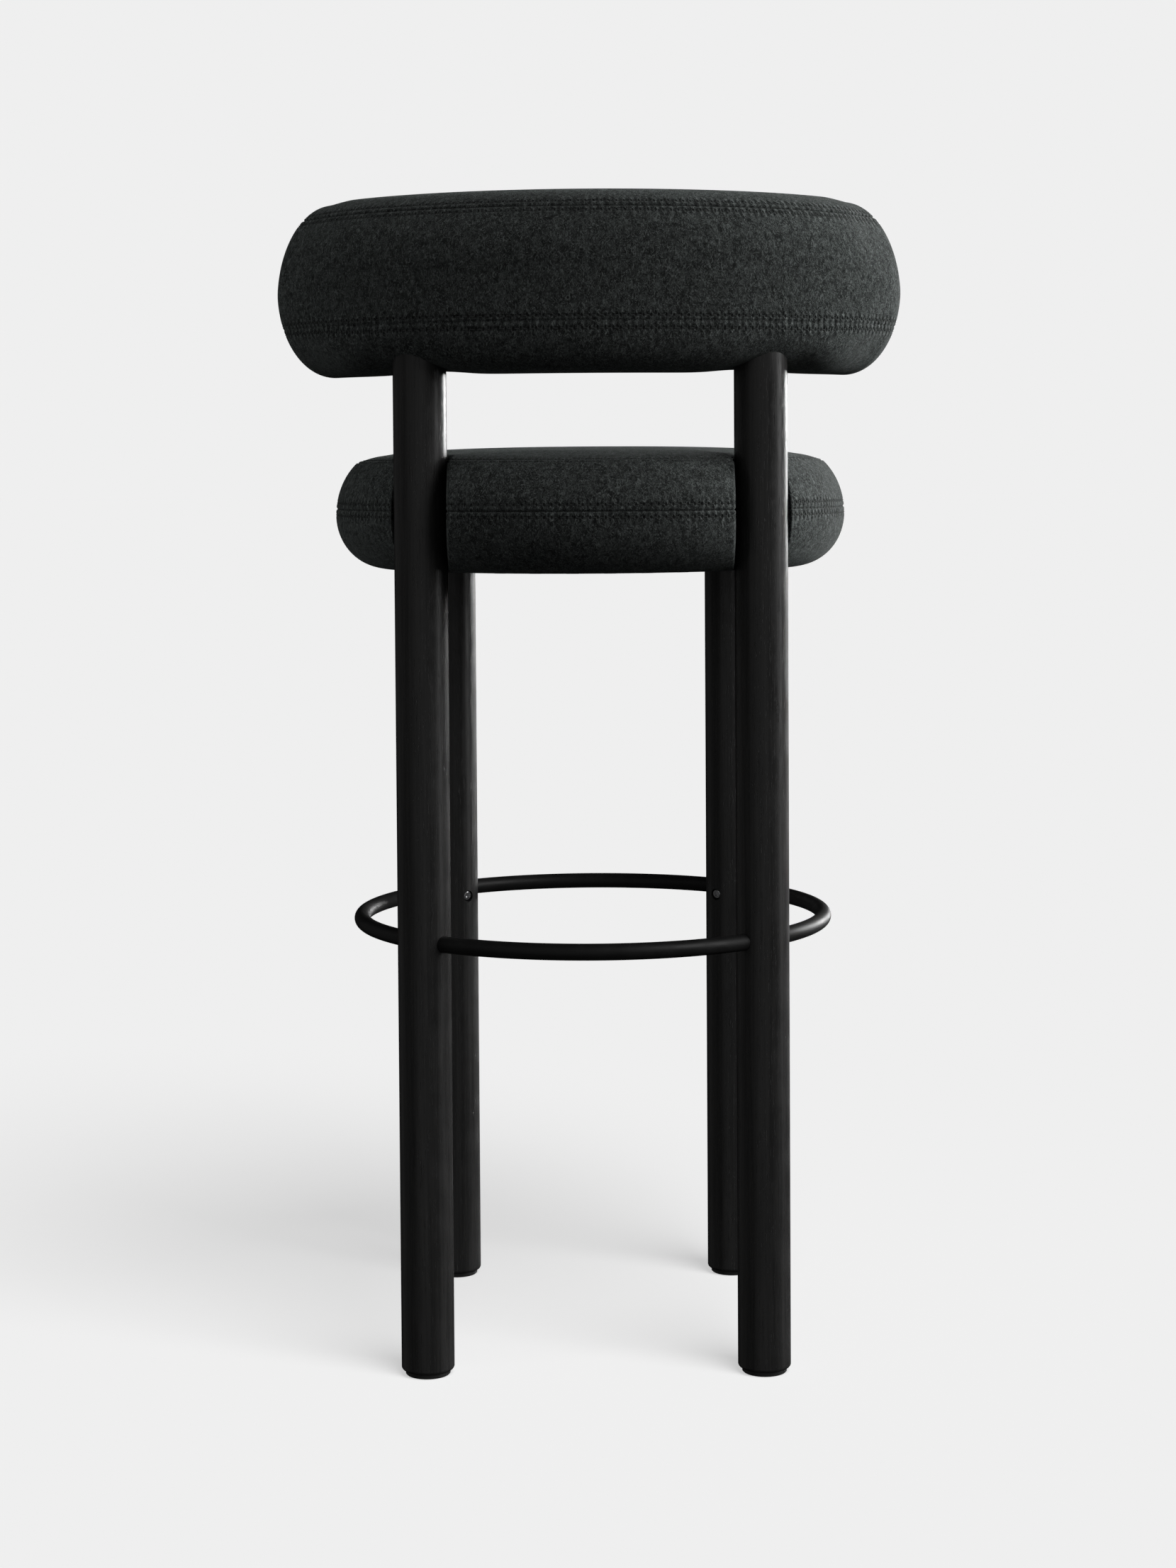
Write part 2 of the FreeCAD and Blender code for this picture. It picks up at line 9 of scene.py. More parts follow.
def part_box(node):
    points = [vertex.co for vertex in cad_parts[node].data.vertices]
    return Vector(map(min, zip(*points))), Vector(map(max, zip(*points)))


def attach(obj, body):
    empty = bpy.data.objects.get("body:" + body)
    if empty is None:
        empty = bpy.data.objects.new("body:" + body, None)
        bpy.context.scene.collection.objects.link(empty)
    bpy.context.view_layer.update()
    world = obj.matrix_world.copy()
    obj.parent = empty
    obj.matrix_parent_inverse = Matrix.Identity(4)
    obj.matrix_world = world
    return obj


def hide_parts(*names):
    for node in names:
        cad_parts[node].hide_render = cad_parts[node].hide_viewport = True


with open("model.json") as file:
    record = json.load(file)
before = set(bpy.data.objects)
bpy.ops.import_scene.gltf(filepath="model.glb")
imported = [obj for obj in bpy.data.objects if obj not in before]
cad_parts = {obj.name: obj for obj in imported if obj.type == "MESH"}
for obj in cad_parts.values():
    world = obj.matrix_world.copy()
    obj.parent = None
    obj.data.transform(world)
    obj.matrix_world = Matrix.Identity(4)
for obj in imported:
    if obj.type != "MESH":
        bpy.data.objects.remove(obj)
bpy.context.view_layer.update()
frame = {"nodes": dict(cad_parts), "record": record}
MM = 0.001
TINY = 1e-9

# ---- places read from the frame, in metres ----
LEG_NODES = ("rear_leg_left", "rear_leg_right", "front_leg_left", "front_leg_right")


def middle(node):
    """Middle of a CAD node's box."""
    low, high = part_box(node)
    return (low + high) / 2


LEG_AXES = [middle(node) for node in LEG_NODES]
REAR_LEG_AXES = LEG_AXES[:2]
LEG_RADIUS = (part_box("rear_leg_left")[1].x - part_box("rear_leg_left")[0].x) / 2
SEAT_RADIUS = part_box("seat_cover_upper_band")[1].x
SEAT_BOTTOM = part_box("seat_cover_lower_band")[0].z
SEAT_MID_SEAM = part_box("seat_cover_lower_band")[1].z
SEAT_TOP_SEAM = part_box("seat_cover_top")[0].z
SEAT_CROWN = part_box("seat_cover_top")[1].z
BACK_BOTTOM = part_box("backrest_cover_bottom")[0].z
BACK_LOW_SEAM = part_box("backrest_cover_bottom")[1].z
BACK_TOP_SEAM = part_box("backrest_cover_top")[0].z
BACK_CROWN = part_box("backrest_cover_top")[1].z
BACK_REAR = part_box("backrest_cover_band")[1].y
BACK_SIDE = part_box("backrest_cover_band")[1].x

# ---- seat cushion, in metres ----
WIDEST_Z = 727 * MM
LOWER_CORNER_WIDTH = 43.4 * MM
UPPER_CORNER_WIDTH = 48.2 * MM
TOP_PANEL_RADIUS = 206.1 * MM
LINING_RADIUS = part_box("seat_dust_cover")[1].x + 0.2 * MM
FLAT_RADIUS = 182 * MM
CROWN_DROP = 5.2 * MM
CROWN_POWER = 2.6
EDGE_DROP = 4.6 * MM
LINING_RECESS = 2.5 * MM
# between the felt and a leg, and how far the notches open out at the top edge and at the foot
LEG_GAP = 0.5 * MM
NOTCH_EDGE = 10 * MM
NOTCH_FOOT = 1.2 * MM
# how far to the side a column's line starts, as a share of how far it ends
COLUMN_START = 0.72
# rounding of a notch's edge on the leg's outer and inner side, and where it goes from one to the other
NOTCH_ROUNDING = (7 * MM, 13 * MM)
ROUNDING_BLEND = (-12 * MM, 14 * MM)
# farther out than any part of the seat
BEYOND_REACH = 1.0

# ---- backrest cushion, in metres ----
BACK_HALF_THICK = 50 * MM
BACK_RADIUS = 270 * MM
BACK_CENTRE_Y = BACK_REAR - BACK_RADIUS - BACK_HALF_THICK
BACK_HALF_ANGLE = math.asin((BACK_SIDE - BACK_HALF_THICK) / BACK_RADIUS)
# lengths along the half section
BACK_BOTTOM_LENGTH = 72 * MM
BACK_BAND_SPARE = 6 * MM
BACK_TOP_LENGTH = 38 * MM
# corners in the middle and at the ends; they change from this bend on
CORNER_CHANGE_FROM = math.radians(36)
TOP_CORNER_HEIGHT = (60 * MM, 84 * MM)
LOW_CORNER_HEIGHT = (45 * MM, 76 * MM)
LOW_CORNER_POWER = (3.0, 2.05)
END_DROP = 2.5 * MM
END_DROP_FROM = math.radians(46)
# where the legs enter
DIMPLE_RISE = 5 * MM
DIMPLE_REACH = 24 * MM
DIMPLE_SHIFT = 8 * MM
DIMPLE_FADE = (2 * MM, 30 * MM)

# ---- sewing, in metres ----
STITCH_PITCH = 6.3 * MM
THREAD_RADIUS = 0.38 * MM
# length of a thread as a share of the pitch
THREAD_SHARE = 0.74
THREAD_RINGS = 5
THREAD_SIDES = 6
THREAD_BLUNTNESS = 0.12
# in thread radii
THREAD_LIFT = 1.5
THREAD_SINK = 0.75
SEAT_STITCH_OFFSET = 5.3 * MM
BACK_TOP_STITCH_OFFSET = 4.7 * MM
BACK_LOW_STITCH_OFFSET = 4.05 * MM
STITCH_TO_LEG = 4 * MM
SEAM_WIDTH = 0.9 * MM
SEAT_SEAM_DEPTHS = (1.1 * MM, 1.2 * MM)
BACK_SEAM_DEPTHS = (0.6 * MM, 1.4 * MM)
# a seam deeper than this gets a painted shade line along it
OPEN_SEAM_DEPTH = 1 * MM
STITCH_ROW_WIDTH = 1.1 * MM
STITCH_ROW_DEPTH = 0.45 * MM
# distances to a seam are kept at this when they are more
FAR = 40 * MM

# ---- fineness of the cushions' meshes; rows are (step, step near a seam, reach of the seam's rows) ----
WELD = 0.002 * MM
ROW_CLEARANCE = 0.45
OUTLINE_STEPS = 24001
PROFILE_STEPS = 90
SIDE_STEPS = 60
FINE_ROWS = (3.5 * MM, 0.6 * MM, 9 * MM)
SEAT_COLUMNS = 880
BACK_COLUMNS = (260, 70)
SEAT_BAG_ROWS = (11 * MM, 4 * MM, 8 * MM)
SEAT_BAG_COLUMNS = 170
BACK_BAG_ROWS = (10 * MM, 4 * MM, 8 * MM)
BACK_BAG_COLUMNS = (60, 16)

# ---- cloth simulation: a thick felt filled with a little pressure ----
CLOTH_QUALITY = 5
CLOTH_MASS = 0.3
CLOTH_STIFFNESS = 12
CLOTH_BENDING = 2.0
CLOTH_PRESSURE = 4
CLOTH_FRAMES = 20
SWELL_CAP = 1.2 * MM
HELD_BY_LEG = 12 * MM
HELD_BY_LINING = 10 * MM
HELD_BY_RIDGE = 4 * MM
ON_SEAM = 0.1 * MM

# ---- camera, floor and lights: lens and sensor in mm, places in metres, spreads in degrees ----
CAMERA_AT = Vector((0.01006, 2.591, 0.774))
CAMERA_LENS = 66.77
CAMERA_SENSOR = 36
CAMERA_SHIFT_Y = -0.1272
CAMERA_PITCH = 0.04253
CAMERA_YAW = 0.00296
CAMERA_ROLL = -0.00649
BACKDROP = 0.863
FLOOR_HALF = 60.0
FLOOR_ALBEDO = 0.60
FLOOR_SUN = 2.0
FLOOR_SUN_FROM = (-0.56, 0.83, 1.30)
FLOOR_SUN_SPREAD = 40
# name, direction of the light, strength, spread, lights matt surfaces, shows in glossy ones
LIGHTS = (
    ("key", (-0.80, 0.42, 0.62), 1.37, 40, True, True),
    ("right_rim", (-0.93, -0.42, 0.30), 5.8, 30, True, False),
    ("edge", (-0.62, -0.78, 0.12), 1.9, 12, False, True),
    ("left", (0.95, -0.10, 0.10), 0.10, 90, False, True),
    ("side", (-1.0, 0.05, 0.15), 0.46, 30, True, True),
    ("front", (0.20, 0.90, 0.35), 0.28, 90, True, True),
    ("bounce", (-0.25, 0.60, -0.75), 0.14, 120, True, True),
    ("left_rim", (0.93, -0.30, 0.30), 1.05, 40, True, False),
)


# ================= node helpers =================
def new_material(name):
    """An empty node material with its Principled shader joined to the output."""
    material = bpy.data.materials.new(name)
    material.use_nodes = True
    tree = material.node_tree
    tree.nodes.clear()
    shader = tree.nodes.new("ShaderNodeBsdfPrincipled")
    output = tree.nodes.new("ShaderNodeOutputMaterial")
    tree.links.new(shader.outputs[0], output.inputs["Surface"])
    return material, tree, shader


def feed(tree, socket, value):
    """Joins value to the socket if it is a socket, or else sets it there."""
    if isinstance(value, bpy.types.NodeSocket):
        tree.links.new(value, socket)
    else:
        socket.default_value = value


def add(tree, kind, inputs=None, **settings):
    """A node with its settings made and its inputs fed."""
    node = tree.nodes.new(kind)
    for name, value in settings.items():
        setattr(node, name, value)
    for name, value in (inputs or {}).items():
        feed(tree, node.inputs[name], value)
    return node


def calc(tree, operation, *values):
    """A Math node's result."""
    return add(tree, "ShaderNodeMath", dict(enumerate(values)), operation=operation).outputs[0]


def vector(tree, operation, *values):
    """A Vector Math node, whose outputs are Vector and Value."""
    return add(tree, "ShaderNodeVectorMath", dict(enumerate(values)), operation=operation)


def remap(tree, value, low, high, to_low=0.0, to_high=1.0):
    """value carried smoothly from low..high to to_low..to_high."""
    inputs = {"Value": value, "From Min": low, "From Max": high, "To Min": to_low, "To Max": to_high}
    return add(tree, "ShaderNodeMapRange", inputs, interpolation_type="SMOOTHSTEP").outputs[0]


def blend(tree, share, first, second):
    """The colour between first and second."""
    node = add(tree, "ShaderNodeMix", data_type="RGBA")
    feed(tree, node.inputs[0], share)
    feed(tree, node.inputs[6], first)
    feed(tree, node.inputs[7], second)
    return node.outputs[2]


def brighten(tree, colour, share):
    """A colour with its brightness multiplied by share."""
    node = vector(tree, "SCALE", colour)
    feed(tree, node.inputs["Scale"], share)
    return node.outputs[0]


def grey(value, tint=(1.0, 1.0, 1.0)):
    """A colour of that brightness."""
    return (value * tint[0], value * tint[1], value * tint[2], 1.0)


def object_point(tree, scale=(1.0, 1.0, 1.0)):
    """Object coordinates, scaled along each axis."""
    place = add(tree, "ShaderNodeTexCoord").outputs["Object"]
    return vector(tree, "MULTIPLY", place, scale).outputs[0]


def noise(tree, point, scale, detail=2.0, roughness=0.5, distortion=0.0):
    """A noise texture's grey value."""
    inputs = {
        "Vector": point,
        "Scale": scale,
        "Detail": detail,
        "Roughness": roughness,
        "Distortion": distortion,
    }
    return add(tree, "ShaderNodeTexNoise", inputs).outputs["Fac"]


def cells(tree, point, scale, randomness=1.0):
    """A Voronoi node, whose outputs tell of the nearest cell."""
    inputs = {"Vector": point, "Scale": scale, "Randomness": randomness}
    return add(tree, "ShaderNodeTexVoronoi", inputs, feature="F1")


def attribute(tree, name):
    """A float attribute of the mesh."""
    return add(tree, "ShaderNodeAttribute", attribute_name=name).outputs["Fac"]


def bump(tree, height, distance, normal=None):
    """A normal bent by a height."""
    inputs = {"Height": height, "Distance": distance, "Strength": 1.0}
    if normal is not None:
        inputs["Normal"] = normal
    return add(tree, "ShaderNodeBump", inputs).outputs[0]


def dress(tree, shader, looks):
    """Feeds each named socket of the shader."""
    for name, value in looks.items():
        feed(tree, shader.inputs[name], value)


# ================= materials =================
FELT_TINT = (0.93, 1.03, 1.0)
# painted shade: a near-black laid into the felt's hollows
FELT_HOLLOW_SHADE = grey(0.005, FELT_TINT)
FELT_DARK = grey(0.012, FELT_TINT)
FELT_MID = grey(0.043, FELT_TINT)
FELT_PALE = grey(0.125, FELT_TINT)
FELT_FIBRE = grey(0.15, FELT_TINT)
# painted shade: near-black laid into the stitch holes and open seams
STITCH_HOLE_SHADE = grey(0.0025)


def fibre_mask(tree, point, scale, width):
    """Short straight fibres, one to a cell, each lying in the surface in its own direction."""
    cell = cells(tree, point, scale)
    local = vector(tree, "SUBTRACT", point, cell.outputs["Position"]).outputs[0]
    normal = add(tree, "ShaderNodeNewGeometry").outputs["Normal"]
    turned = vector(tree, "SUBTRACT", cell.outputs["Color"], (0.5, 0.5, 0.5)).outputs[0]
    along = vector(tree, "CROSS_PRODUCT", turned, normal).outputs[0]
    along = vector(tree, "NORMALIZE", along).outputs[0]
    across = vector(tree, "CROSS_PRODUCT", along, normal).outputs[0]
    away = calc(tree, "ABSOLUTE", vector(tree, "DOT_PRODUCT", local, across).outputs["Value"])
    return remap(tree, away, low=width, high=width * 0.3)


def stitch_marks(tree):
    """(holes, pucker, seam line) from the attributes of a sewn mesh, worked out in millimetres."""
    turn = attribute(tree, "stitch_u")
    side = attribute(tree, "stitch_v")
    seam = attribute(tree, "seam_v")
    phase = calc(tree, "SUBTRACT", calc(tree, "FRACT", turn), 0.5)
    along = calc(tree, "MULTIPLY", phase, STITCH_PITCH / MM)
    across = calc(tree, "DIVIDE", side, MM)
    wide = calc(tree, "MULTIPLY", along, along)
    slimness = 0.45
    tall = calc(tree, "MULTIPLY", calc(tree, "MULTIPLY", across, across), slimness)
    from_hole = calc(tree, "SQRT", calc(tree, "ADD", wide, tall))
    holes = remap(tree, from_hole, low=1.45, high=0.4)
    near = remap(tree, calc(tree, "ABSOLUTE", across), low=6.5, high=0.8)
    wave = calc(tree, "COSINE", calc(tree, "MULTIPLY", phase, 2 * math.pi))
    pucker = calc(tree, "MULTIPLY", wave, near)
    from_seam = calc(tree, "ABSOLUTE", calc(tree, "DIVIDE", seam, MM))
    line = remap(tree, from_seam, low=0.8, high=0.2)
    return holes, pucker, line


def felt_fibres(tree, point):
    """Long and short pale fibres, denser in some places than in others."""
    long_fibres = fibre_mask(tree, point, scale=380.0, width=0.20 * MM)
    short_fibres = fibre_mask(tree, point, scale=700.0, width=0.12 * MM)
    fibres = calc(tree, "MAXIMUM", long_fibres, calc(tree, "MULTIPLY", short_fibres, 0.7))
    patch = noise(tree, point, scale=300.0)
    density = remap(tree, patch, low=0.40, high=0.62, to_low=0.1, to_high=0.8)
    return calc(tree, "MULTIPLY", fibres, density)


def sewn_look(tree, colour, normal):
    """(colour, normal) of sewn felt: puckered between the stitches, with painted shade in the holes and
    seams and painted light and shade on the puckers.
    """
    holes, pucker, line = stitch_marks(tree)
    # painted light and shade: the felt is lightened on the puckers' raised parts and darkened in their dips
    pucker_light_and_shade = remap(tree, pucker, low=-1.0, high=1.0, to_low=0.74, to_high=1.30)
    # painted shade in the stitch holes and along open seams
    hole_shade = calc(tree, "MULTIPLY", holes, 0.85)
    seam_shade = calc(tree, "MULTIPLY", line, 0.50)
    dark = calc(tree, "MAXIMUM", hole_shade, seam_shade)
    colour = blend(tree, dark, brighten(tree, colour, pucker_light_and_shade), STITCH_HOLE_SHADE)
    relief = calc(tree, "SUBTRACT", calc(tree, "MULTIPLY", pucker, 0.5), holes)
    return colour, bump(tree, relief, distance=1.0 * MM, normal=normal)


def wool_felt(sewn):
    """Charcoal melange felt: mixed greys, short pale fibres in the surface, painted shade in the low hollows
    of its relief and a soft sheen.
    """
    material, tree, shader = new_material("wool_felt_sewn" if sewn else "wool_felt_plain")
    point = object_point(tree)
    patches = noise(tree, point, scale=170.0, detail=3.0, roughness=0.7)
    lengthened = object_point(tree, (1.0, 1.0, 0.55))
    wisps = noise(tree, lengthened, scale=400.0, detail=3.0, roughness=0.6, distortion=2.2)
    nap = noise(tree, point, scale=1300.0, roughness=0.6)
    colour = blend(tree, remap(tree, patches, low=0.38, high=0.62), FELT_DARK, FELT_MID)
    # painted shade: darkens the felt where the wisp relief is lowest
    hollow_shade = remap(tree, wisps, low=0.48, high=0.36, to_high=0.8)
    pale_wisps = remap(tree, wisps, low=0.52, high=0.66, to_high=0.9)
    colour = blend(tree, hollow_shade, colour, FELT_HOLLOW_SHADE)
    colour = blend(tree, pale_wisps, colour, FELT_PALE)
    fibres = felt_fibres(tree, point)
    colour = blend(tree, fibres, colour, FELT_FIBRE)
    height = calc(tree, "ADD", calc(tree, "MULTIPLY", wisps, 0.6), calc(tree, "MULTIPLY", nap, 0.3))
    height = calc(tree, "ADD", height, calc(tree, "MULTIPLY", fibres, 0.3))
    normal = bump(tree, height, distance=0.65 * MM)
    if sewn:
        colour, normal = sewn_look(tree, colour, normal)
    dress(tree, shader, {
        "Base Color": colour,
        "Normal": normal,
        "Roughness": 0.95,
        "Specular IOR Level": 0.18,
        "Sheen Weight": 0.10,
        "Sheen Roughness": 0.45,
        "Sheen Tint": grey(0.62, FELT_TINT),
    })
    return material


def sewing_thread():
    """Twisted thread in the felt's own grey."""
    material, tree, shader = new_material("sewing_thread")
    twist = noise(tree, object_point(tree), scale=3500.0, detail=1.0)
    dress(tree, shader, {
        "Base Color": blend(tree, twist, grey(0.018, FELT_TINT), grey(0.055, FELT_TINT)),
        "Normal": bump(tree, twist, distance=0.1 * MM),
        "Roughness": 0.8,
    })
    return material


def stained_wood():
    """Beech stained black under a satin lacquer, its grain along the post."""
    material, tree, shader = new_material("stained_wood")
    along_post = object_point(tree, (520.0, 520.0, 9.0))
    streaks = noise(tree, along_post, scale=1.0, detail=4.0, roughness=0.6, distortion=0.3)
    pores = noise(tree, object_point(tree, (1500.0, 1500.0, 70.0)), scale=1.0)
    pore = remap(tree, pores, low=0.60, high=0.72)
    late_wood = grey(0.019, (1.0, 0.98, 0.96))
    colour = blend(tree, remap(tree, streaks, low=0.3, high=0.7), grey(0.0095), late_wood)
    colour = blend(tree, calc(tree, "MULTIPLY", pore, 0.6), colour, grey(0.004))
    height = calc(tree, "SUBTRACT", calc(tree, "MULTIPLY", streaks, 0.5), pore)
    wear = noise(tree, object_point(tree), scale=45.0, detail=3.0)
    dress(tree, shader, {
        "Base Color": colour,
        "Roughness": remap(tree, wear, low=0.3, high=0.7, to_low=0.30, to_high=0.40),
        "Normal": bump(tree, height, distance=0.09 * MM),
        "Specular IOR Level": 0.5,
    })
    return material


def powder_coat():
    """Black powder-coated steel with its fine orange peel."""
    material, tree, shader = new_material("powder_coat")
    point = object_point(tree)
    peel = noise(tree, point, scale=1400.0)
    rub = noise(tree, point, scale=60.0, detail=3.0)
    dress(tree, shader, {
        "Base Color": blend(tree, rub, grey(0.006), grey(0.012)),
        "Roughness": remap(tree, rub, low=0.3, high=0.7, to_low=0.42, to_high=0.54),
        "Normal": bump(tree, peel, distance=0.05 * MM),
        "Specular IOR Level": 0.25,
    })
    return material


def plated(name, colour, roughness):
    """Turned metal with fine tool marks."""
    material, tree, shader = new_material(name)
    marks = noise(tree, object_point(tree, (300.0, 300.0, 2600.0)), scale=1.0)
    groove_colour = tuple(channel * 0.8 for channel in colour)
    dulled = remap(tree, marks, low=0.3, high=0.7, to_low=roughness - 0.06, to_high=roughness + 0.08)
    dress(tree, shader, {
        "Base Color": blend(tree, marks, (*groove_colour, 1.0), (*colour, 1.0)),
        "Roughness": dulled,
        "Normal": bump(tree, marks, distance=0.02 * MM),
        "Metallic": 1.0,
    })
    return material


def moulded_nylon():
    """Black nylon with a fine moulded texture."""
    material, tree, shader = new_material("moulded_nylon")
    grain = noise(tree, object_point(tree), scale=1800.0)
    dress(tree, shader, {
        "Base Color": blend(tree, grain, grey(0.006), grey(0.013)),
        "Roughness": remap(tree, grain, low=0.3, high=0.7, to_low=0.42, to_high=0.58),
        "Normal": bump(tree, grain, distance=0.06 * MM),
    })
    return material


def lining_cloth():
    """Black non-woven lining with pressed dots."""
    material, tree, shader = new_material("lining_cloth")
    point = object_point(tree)
    dots = cells(tree, point, scale=420.0, randomness=0.15).outputs["Distance"]
    pressed = remap(tree, dots, low=0.18, high=0.34, to_low=1.0, to_high=0.0)
    strands = noise(tree, point, scale=900.0, detail=3.0, roughness=0.7, distortion=2.0)
    height = calc(tree, "SUBTRACT", calc(tree, "MULTIPLY", strands, 0.4), pressed)
    dress(tree, shader, {
        "Base Color": blend(tree, strands, grey(0.012), grey(0.035)),
        "Normal": bump(tree, height, distance=0.2 * MM),
        "Roughness": 0.85,
    })
    return material


def birch_plywood():
    """Raw birch plywood: face grain above, veneer layers round the edge."""
    material, tree, shader = new_material("birch_plywood")
    along_face = object_point(tree, (14.0, 320.0, 60.0))
    grain = noise(tree, along_face, scale=1.0, detail=4.0, roughness=0.6, distortion=0.6)
    wave_inputs = {"Vector": object_point(tree), "Scale": 105.0, "Distortion": 0.6}
    layer = add(tree, "ShaderNodeTexWave", wave_inputs, bands_direction="Z").outputs["Fac"]
    face_dark = (0.50, 0.36, 0.22, 1.0)
    face_pale = (0.68, 0.53, 0.37, 1.0)
    glue_line = (0.33, 0.22, 0.13, 1.0)
    colour = blend(tree, remap(tree, grain, low=0.3, high=0.7), face_dark, face_pale)
    colour = blend(tree, calc(tree, "MULTIPLY", layer, 0.35), colour, glue_line)
    dress(tree, shader, {
        "Base Color": colour,
        "Normal": bump(tree, grain, distance=0.12 * MM),
        "Roughness": 0.7,
    })
    return material


def cut_foam():
    """Cream upholstery foam with open cells."""
    material, tree, shader = new_material("cut_foam")
    pore = cells(tree, object_point(tree), scale=900.0).outputs["Distance"]
    dress(tree, shader, {
        "Base Color": blend(tree, pore, (0.72, 0.68, 0.55, 1.0), (0.86, 0.84, 0.75, 1.0)),
        "Normal": bump(tree, pore, distance=0.3 * MM),
        "Roughness": 0.95,
    })
    return material


def finish_cad_nodes():
    """Gives every carried-over CAD node the material of its slot in the record."""
    finishes = {
        "stained_wood": stained_wood(),
        "wool_felt": wool_felt(sewn=False),
        "foam": cut_foam(),
        "plywood": birch_plywood(),
        "black_steel": powder_coat(),
        "bright_steel": plated("zinc_plate", (0.62, 0.62, 0.63), 0.26),
        "brass": plated("turned_brass", (0.72, 0.55, 0.28), 0.30),
        "black_nylon": moulded_nylon(),
        "black_lining": lining_cloth(),
    }
    for part in frame["record"]["subparts"]:
        mesh = frame["nodes"][part["node"]].data
        mesh.materials.clear()
        mesh.materials.append(finishes[part["material_slot"]])


# ================= grids and meshes =================
def grid_mesh(name, points, floats=None):
    """A mesh over a grid of points, rows by closed columns, with equal points welded.
    floats holds grids of values with one extra column, kept at the face corners."""
    rows, columns, _ = points.shape
    keys = np.round(points.reshape(-1, 3) / WELD).astype(np.int64)
    _, first, ids = np.unique(keys, axis=0, return_index=True, return_inverse=True)
    ids = ids.reshape(rows, columns)
    faces, corners = [], []
    for row in range(rows - 1):
        for column in range(columns):
            after = (column + 1) % columns
            loop = ((row, column), (row, column + 1), (row + 1, column + 1), (row + 1, column))
            face = (ids[row, column], ids[row, after], ids[row + 1, after], ids[row + 1, column])
            kept = [k for k in range(4) if face[k] != face[k - 1]]
            if len(kept) > 2 and len({face[k] for k in kept}) == len(kept):
                faces.append([face[k] for k in kept])
                corners.extend(loop[k] for k in kept)
    mesh = bpy.data.meshes.new(name)
    mesh.from_pydata(points.reshape(-1, 3)[first], [], faces)
    mesh.shade_smooth()
    places = np.array(corners)
    for key, values in (floats or {}).items():
        held = mesh.attributes.new(key, "FLOAT", "CORNER")
        held.data.foreach_set("value", values[places[:, 0], places[:, 1]].astype(np.float32))
    mesh.update()
    return mesh, ids


def vertex_normals(mesh, ids):
    """Vertex normals on the grid."""
    normals = np.zeros(len(mesh.vertices) * 3, np.float32)
    mesh.vertices.foreach_get("normal", normals)
    return normals.reshape(-1, 3)[ids].astype(float)


def move_vertices(mesh, ids, points):
    """Puts the welded vertices at the grid's new points."""
    places = np.zeros((len(mesh.vertices), 3), np.float32)
    places[ids.ravel()] = points.reshape(-1, 3)
    mesh.vertices.foreach_set("co", places.ravel())
    mesh.update()


def new_object(name, mesh, material):
    """A scene object for a mesh."""
    mesh.materials.append(material)
    piece = bpy.data.objects.new(name, mesh)
    bpy.context.scene.collection.objects.link(piece)
    return piece


def detailed_rows(length, seams, spacing):
    """Row positions along a profile, closer together around each seam and exactly on its lines."""
    coarse, fine, reach = spacing
    lines = [seam + offset for seam, offsets in seams for offset in (0.0, *offsets)]
    near = [np.arange(-reach, reach + fine / 2, fine) + seam for seam, _ in seams]
    spread = np.arange(0, length, coarse)
    far = [t for t in spread if min(abs(t - seam) for seam, _ in seams) > reach + coarse / 2]
    kept = sorted(lines)
    for t in np.concatenate([*near, far]):
        if 0 < t < length and min(abs(t - line) for line in lines) > fine * ROW_CLEARANCE:
            kept.append(t)
    return np.array(sorted([0.0, length, *kept]))


def distances_along(points):
    """Distance of each point of a line from its start."""
    steps = np.linalg.norm(np.diff(points, axis=0), axis=1)
    return np.concatenate([[0], np.cumsum(steps)])


def even_columns(outline, count):
    """Parameters in 0..1 that divide a closed outline into equal lengths."""
    dense = np.linspace(0, 1, OUTLINE_STEPS)
    lengths = distances_along(outline(dense))
    return np.interp(np.arange(count) / count * lengths[-1], lengths, dense)


def seam_turns(points, t, seam):
    """Stitch number at each column of a seam, with the closing column added."""
    row = int(np.argmin(abs(t - seam)))
    ring = np.vstack([points[row], points[row][:1]])
    lengths = distances_along(ring)
    return lengths / lengths[-1] * round(lengths[-1] / STITCH_PITCH)


def sewing_floats(points, t, seams, depths):
    """Stitch number, and distances to the nearest stitch row and open seam, over the grid."""
    lines = np.array([seam + offset for seam, offsets in seams for offset in offsets])
    starts = np.array([seam for seam, _ in seams])
    to_line = t[:, None] - lines[None, :]
    to_seam = t[:, None] - starts[None, :]
    nearest = abs(to_seam).argmin(1)
    side = to_line[np.arange(len(t)), abs(to_line).argmin(1)]
    seam = to_seam[np.arange(len(t)), nearest]
    turns = np.array([seam_turns(points, t, start) for start in starts])
    shape = (len(t), turns.shape[1])
    open_seam = np.array(depths)[nearest] > OPEN_SEAM_DEPTH
    seam = np.where(open_seam, np.clip(seam, -FAR, FAR), FAR)
    return {
        "stitch_u": turns[nearest],
        "stitch_v": np.broadcast_to(np.clip(side, -FAR, FAR)[:, None], shape),
        "seam_v": np.broadcast_to(seam[:, None], shape),
    }


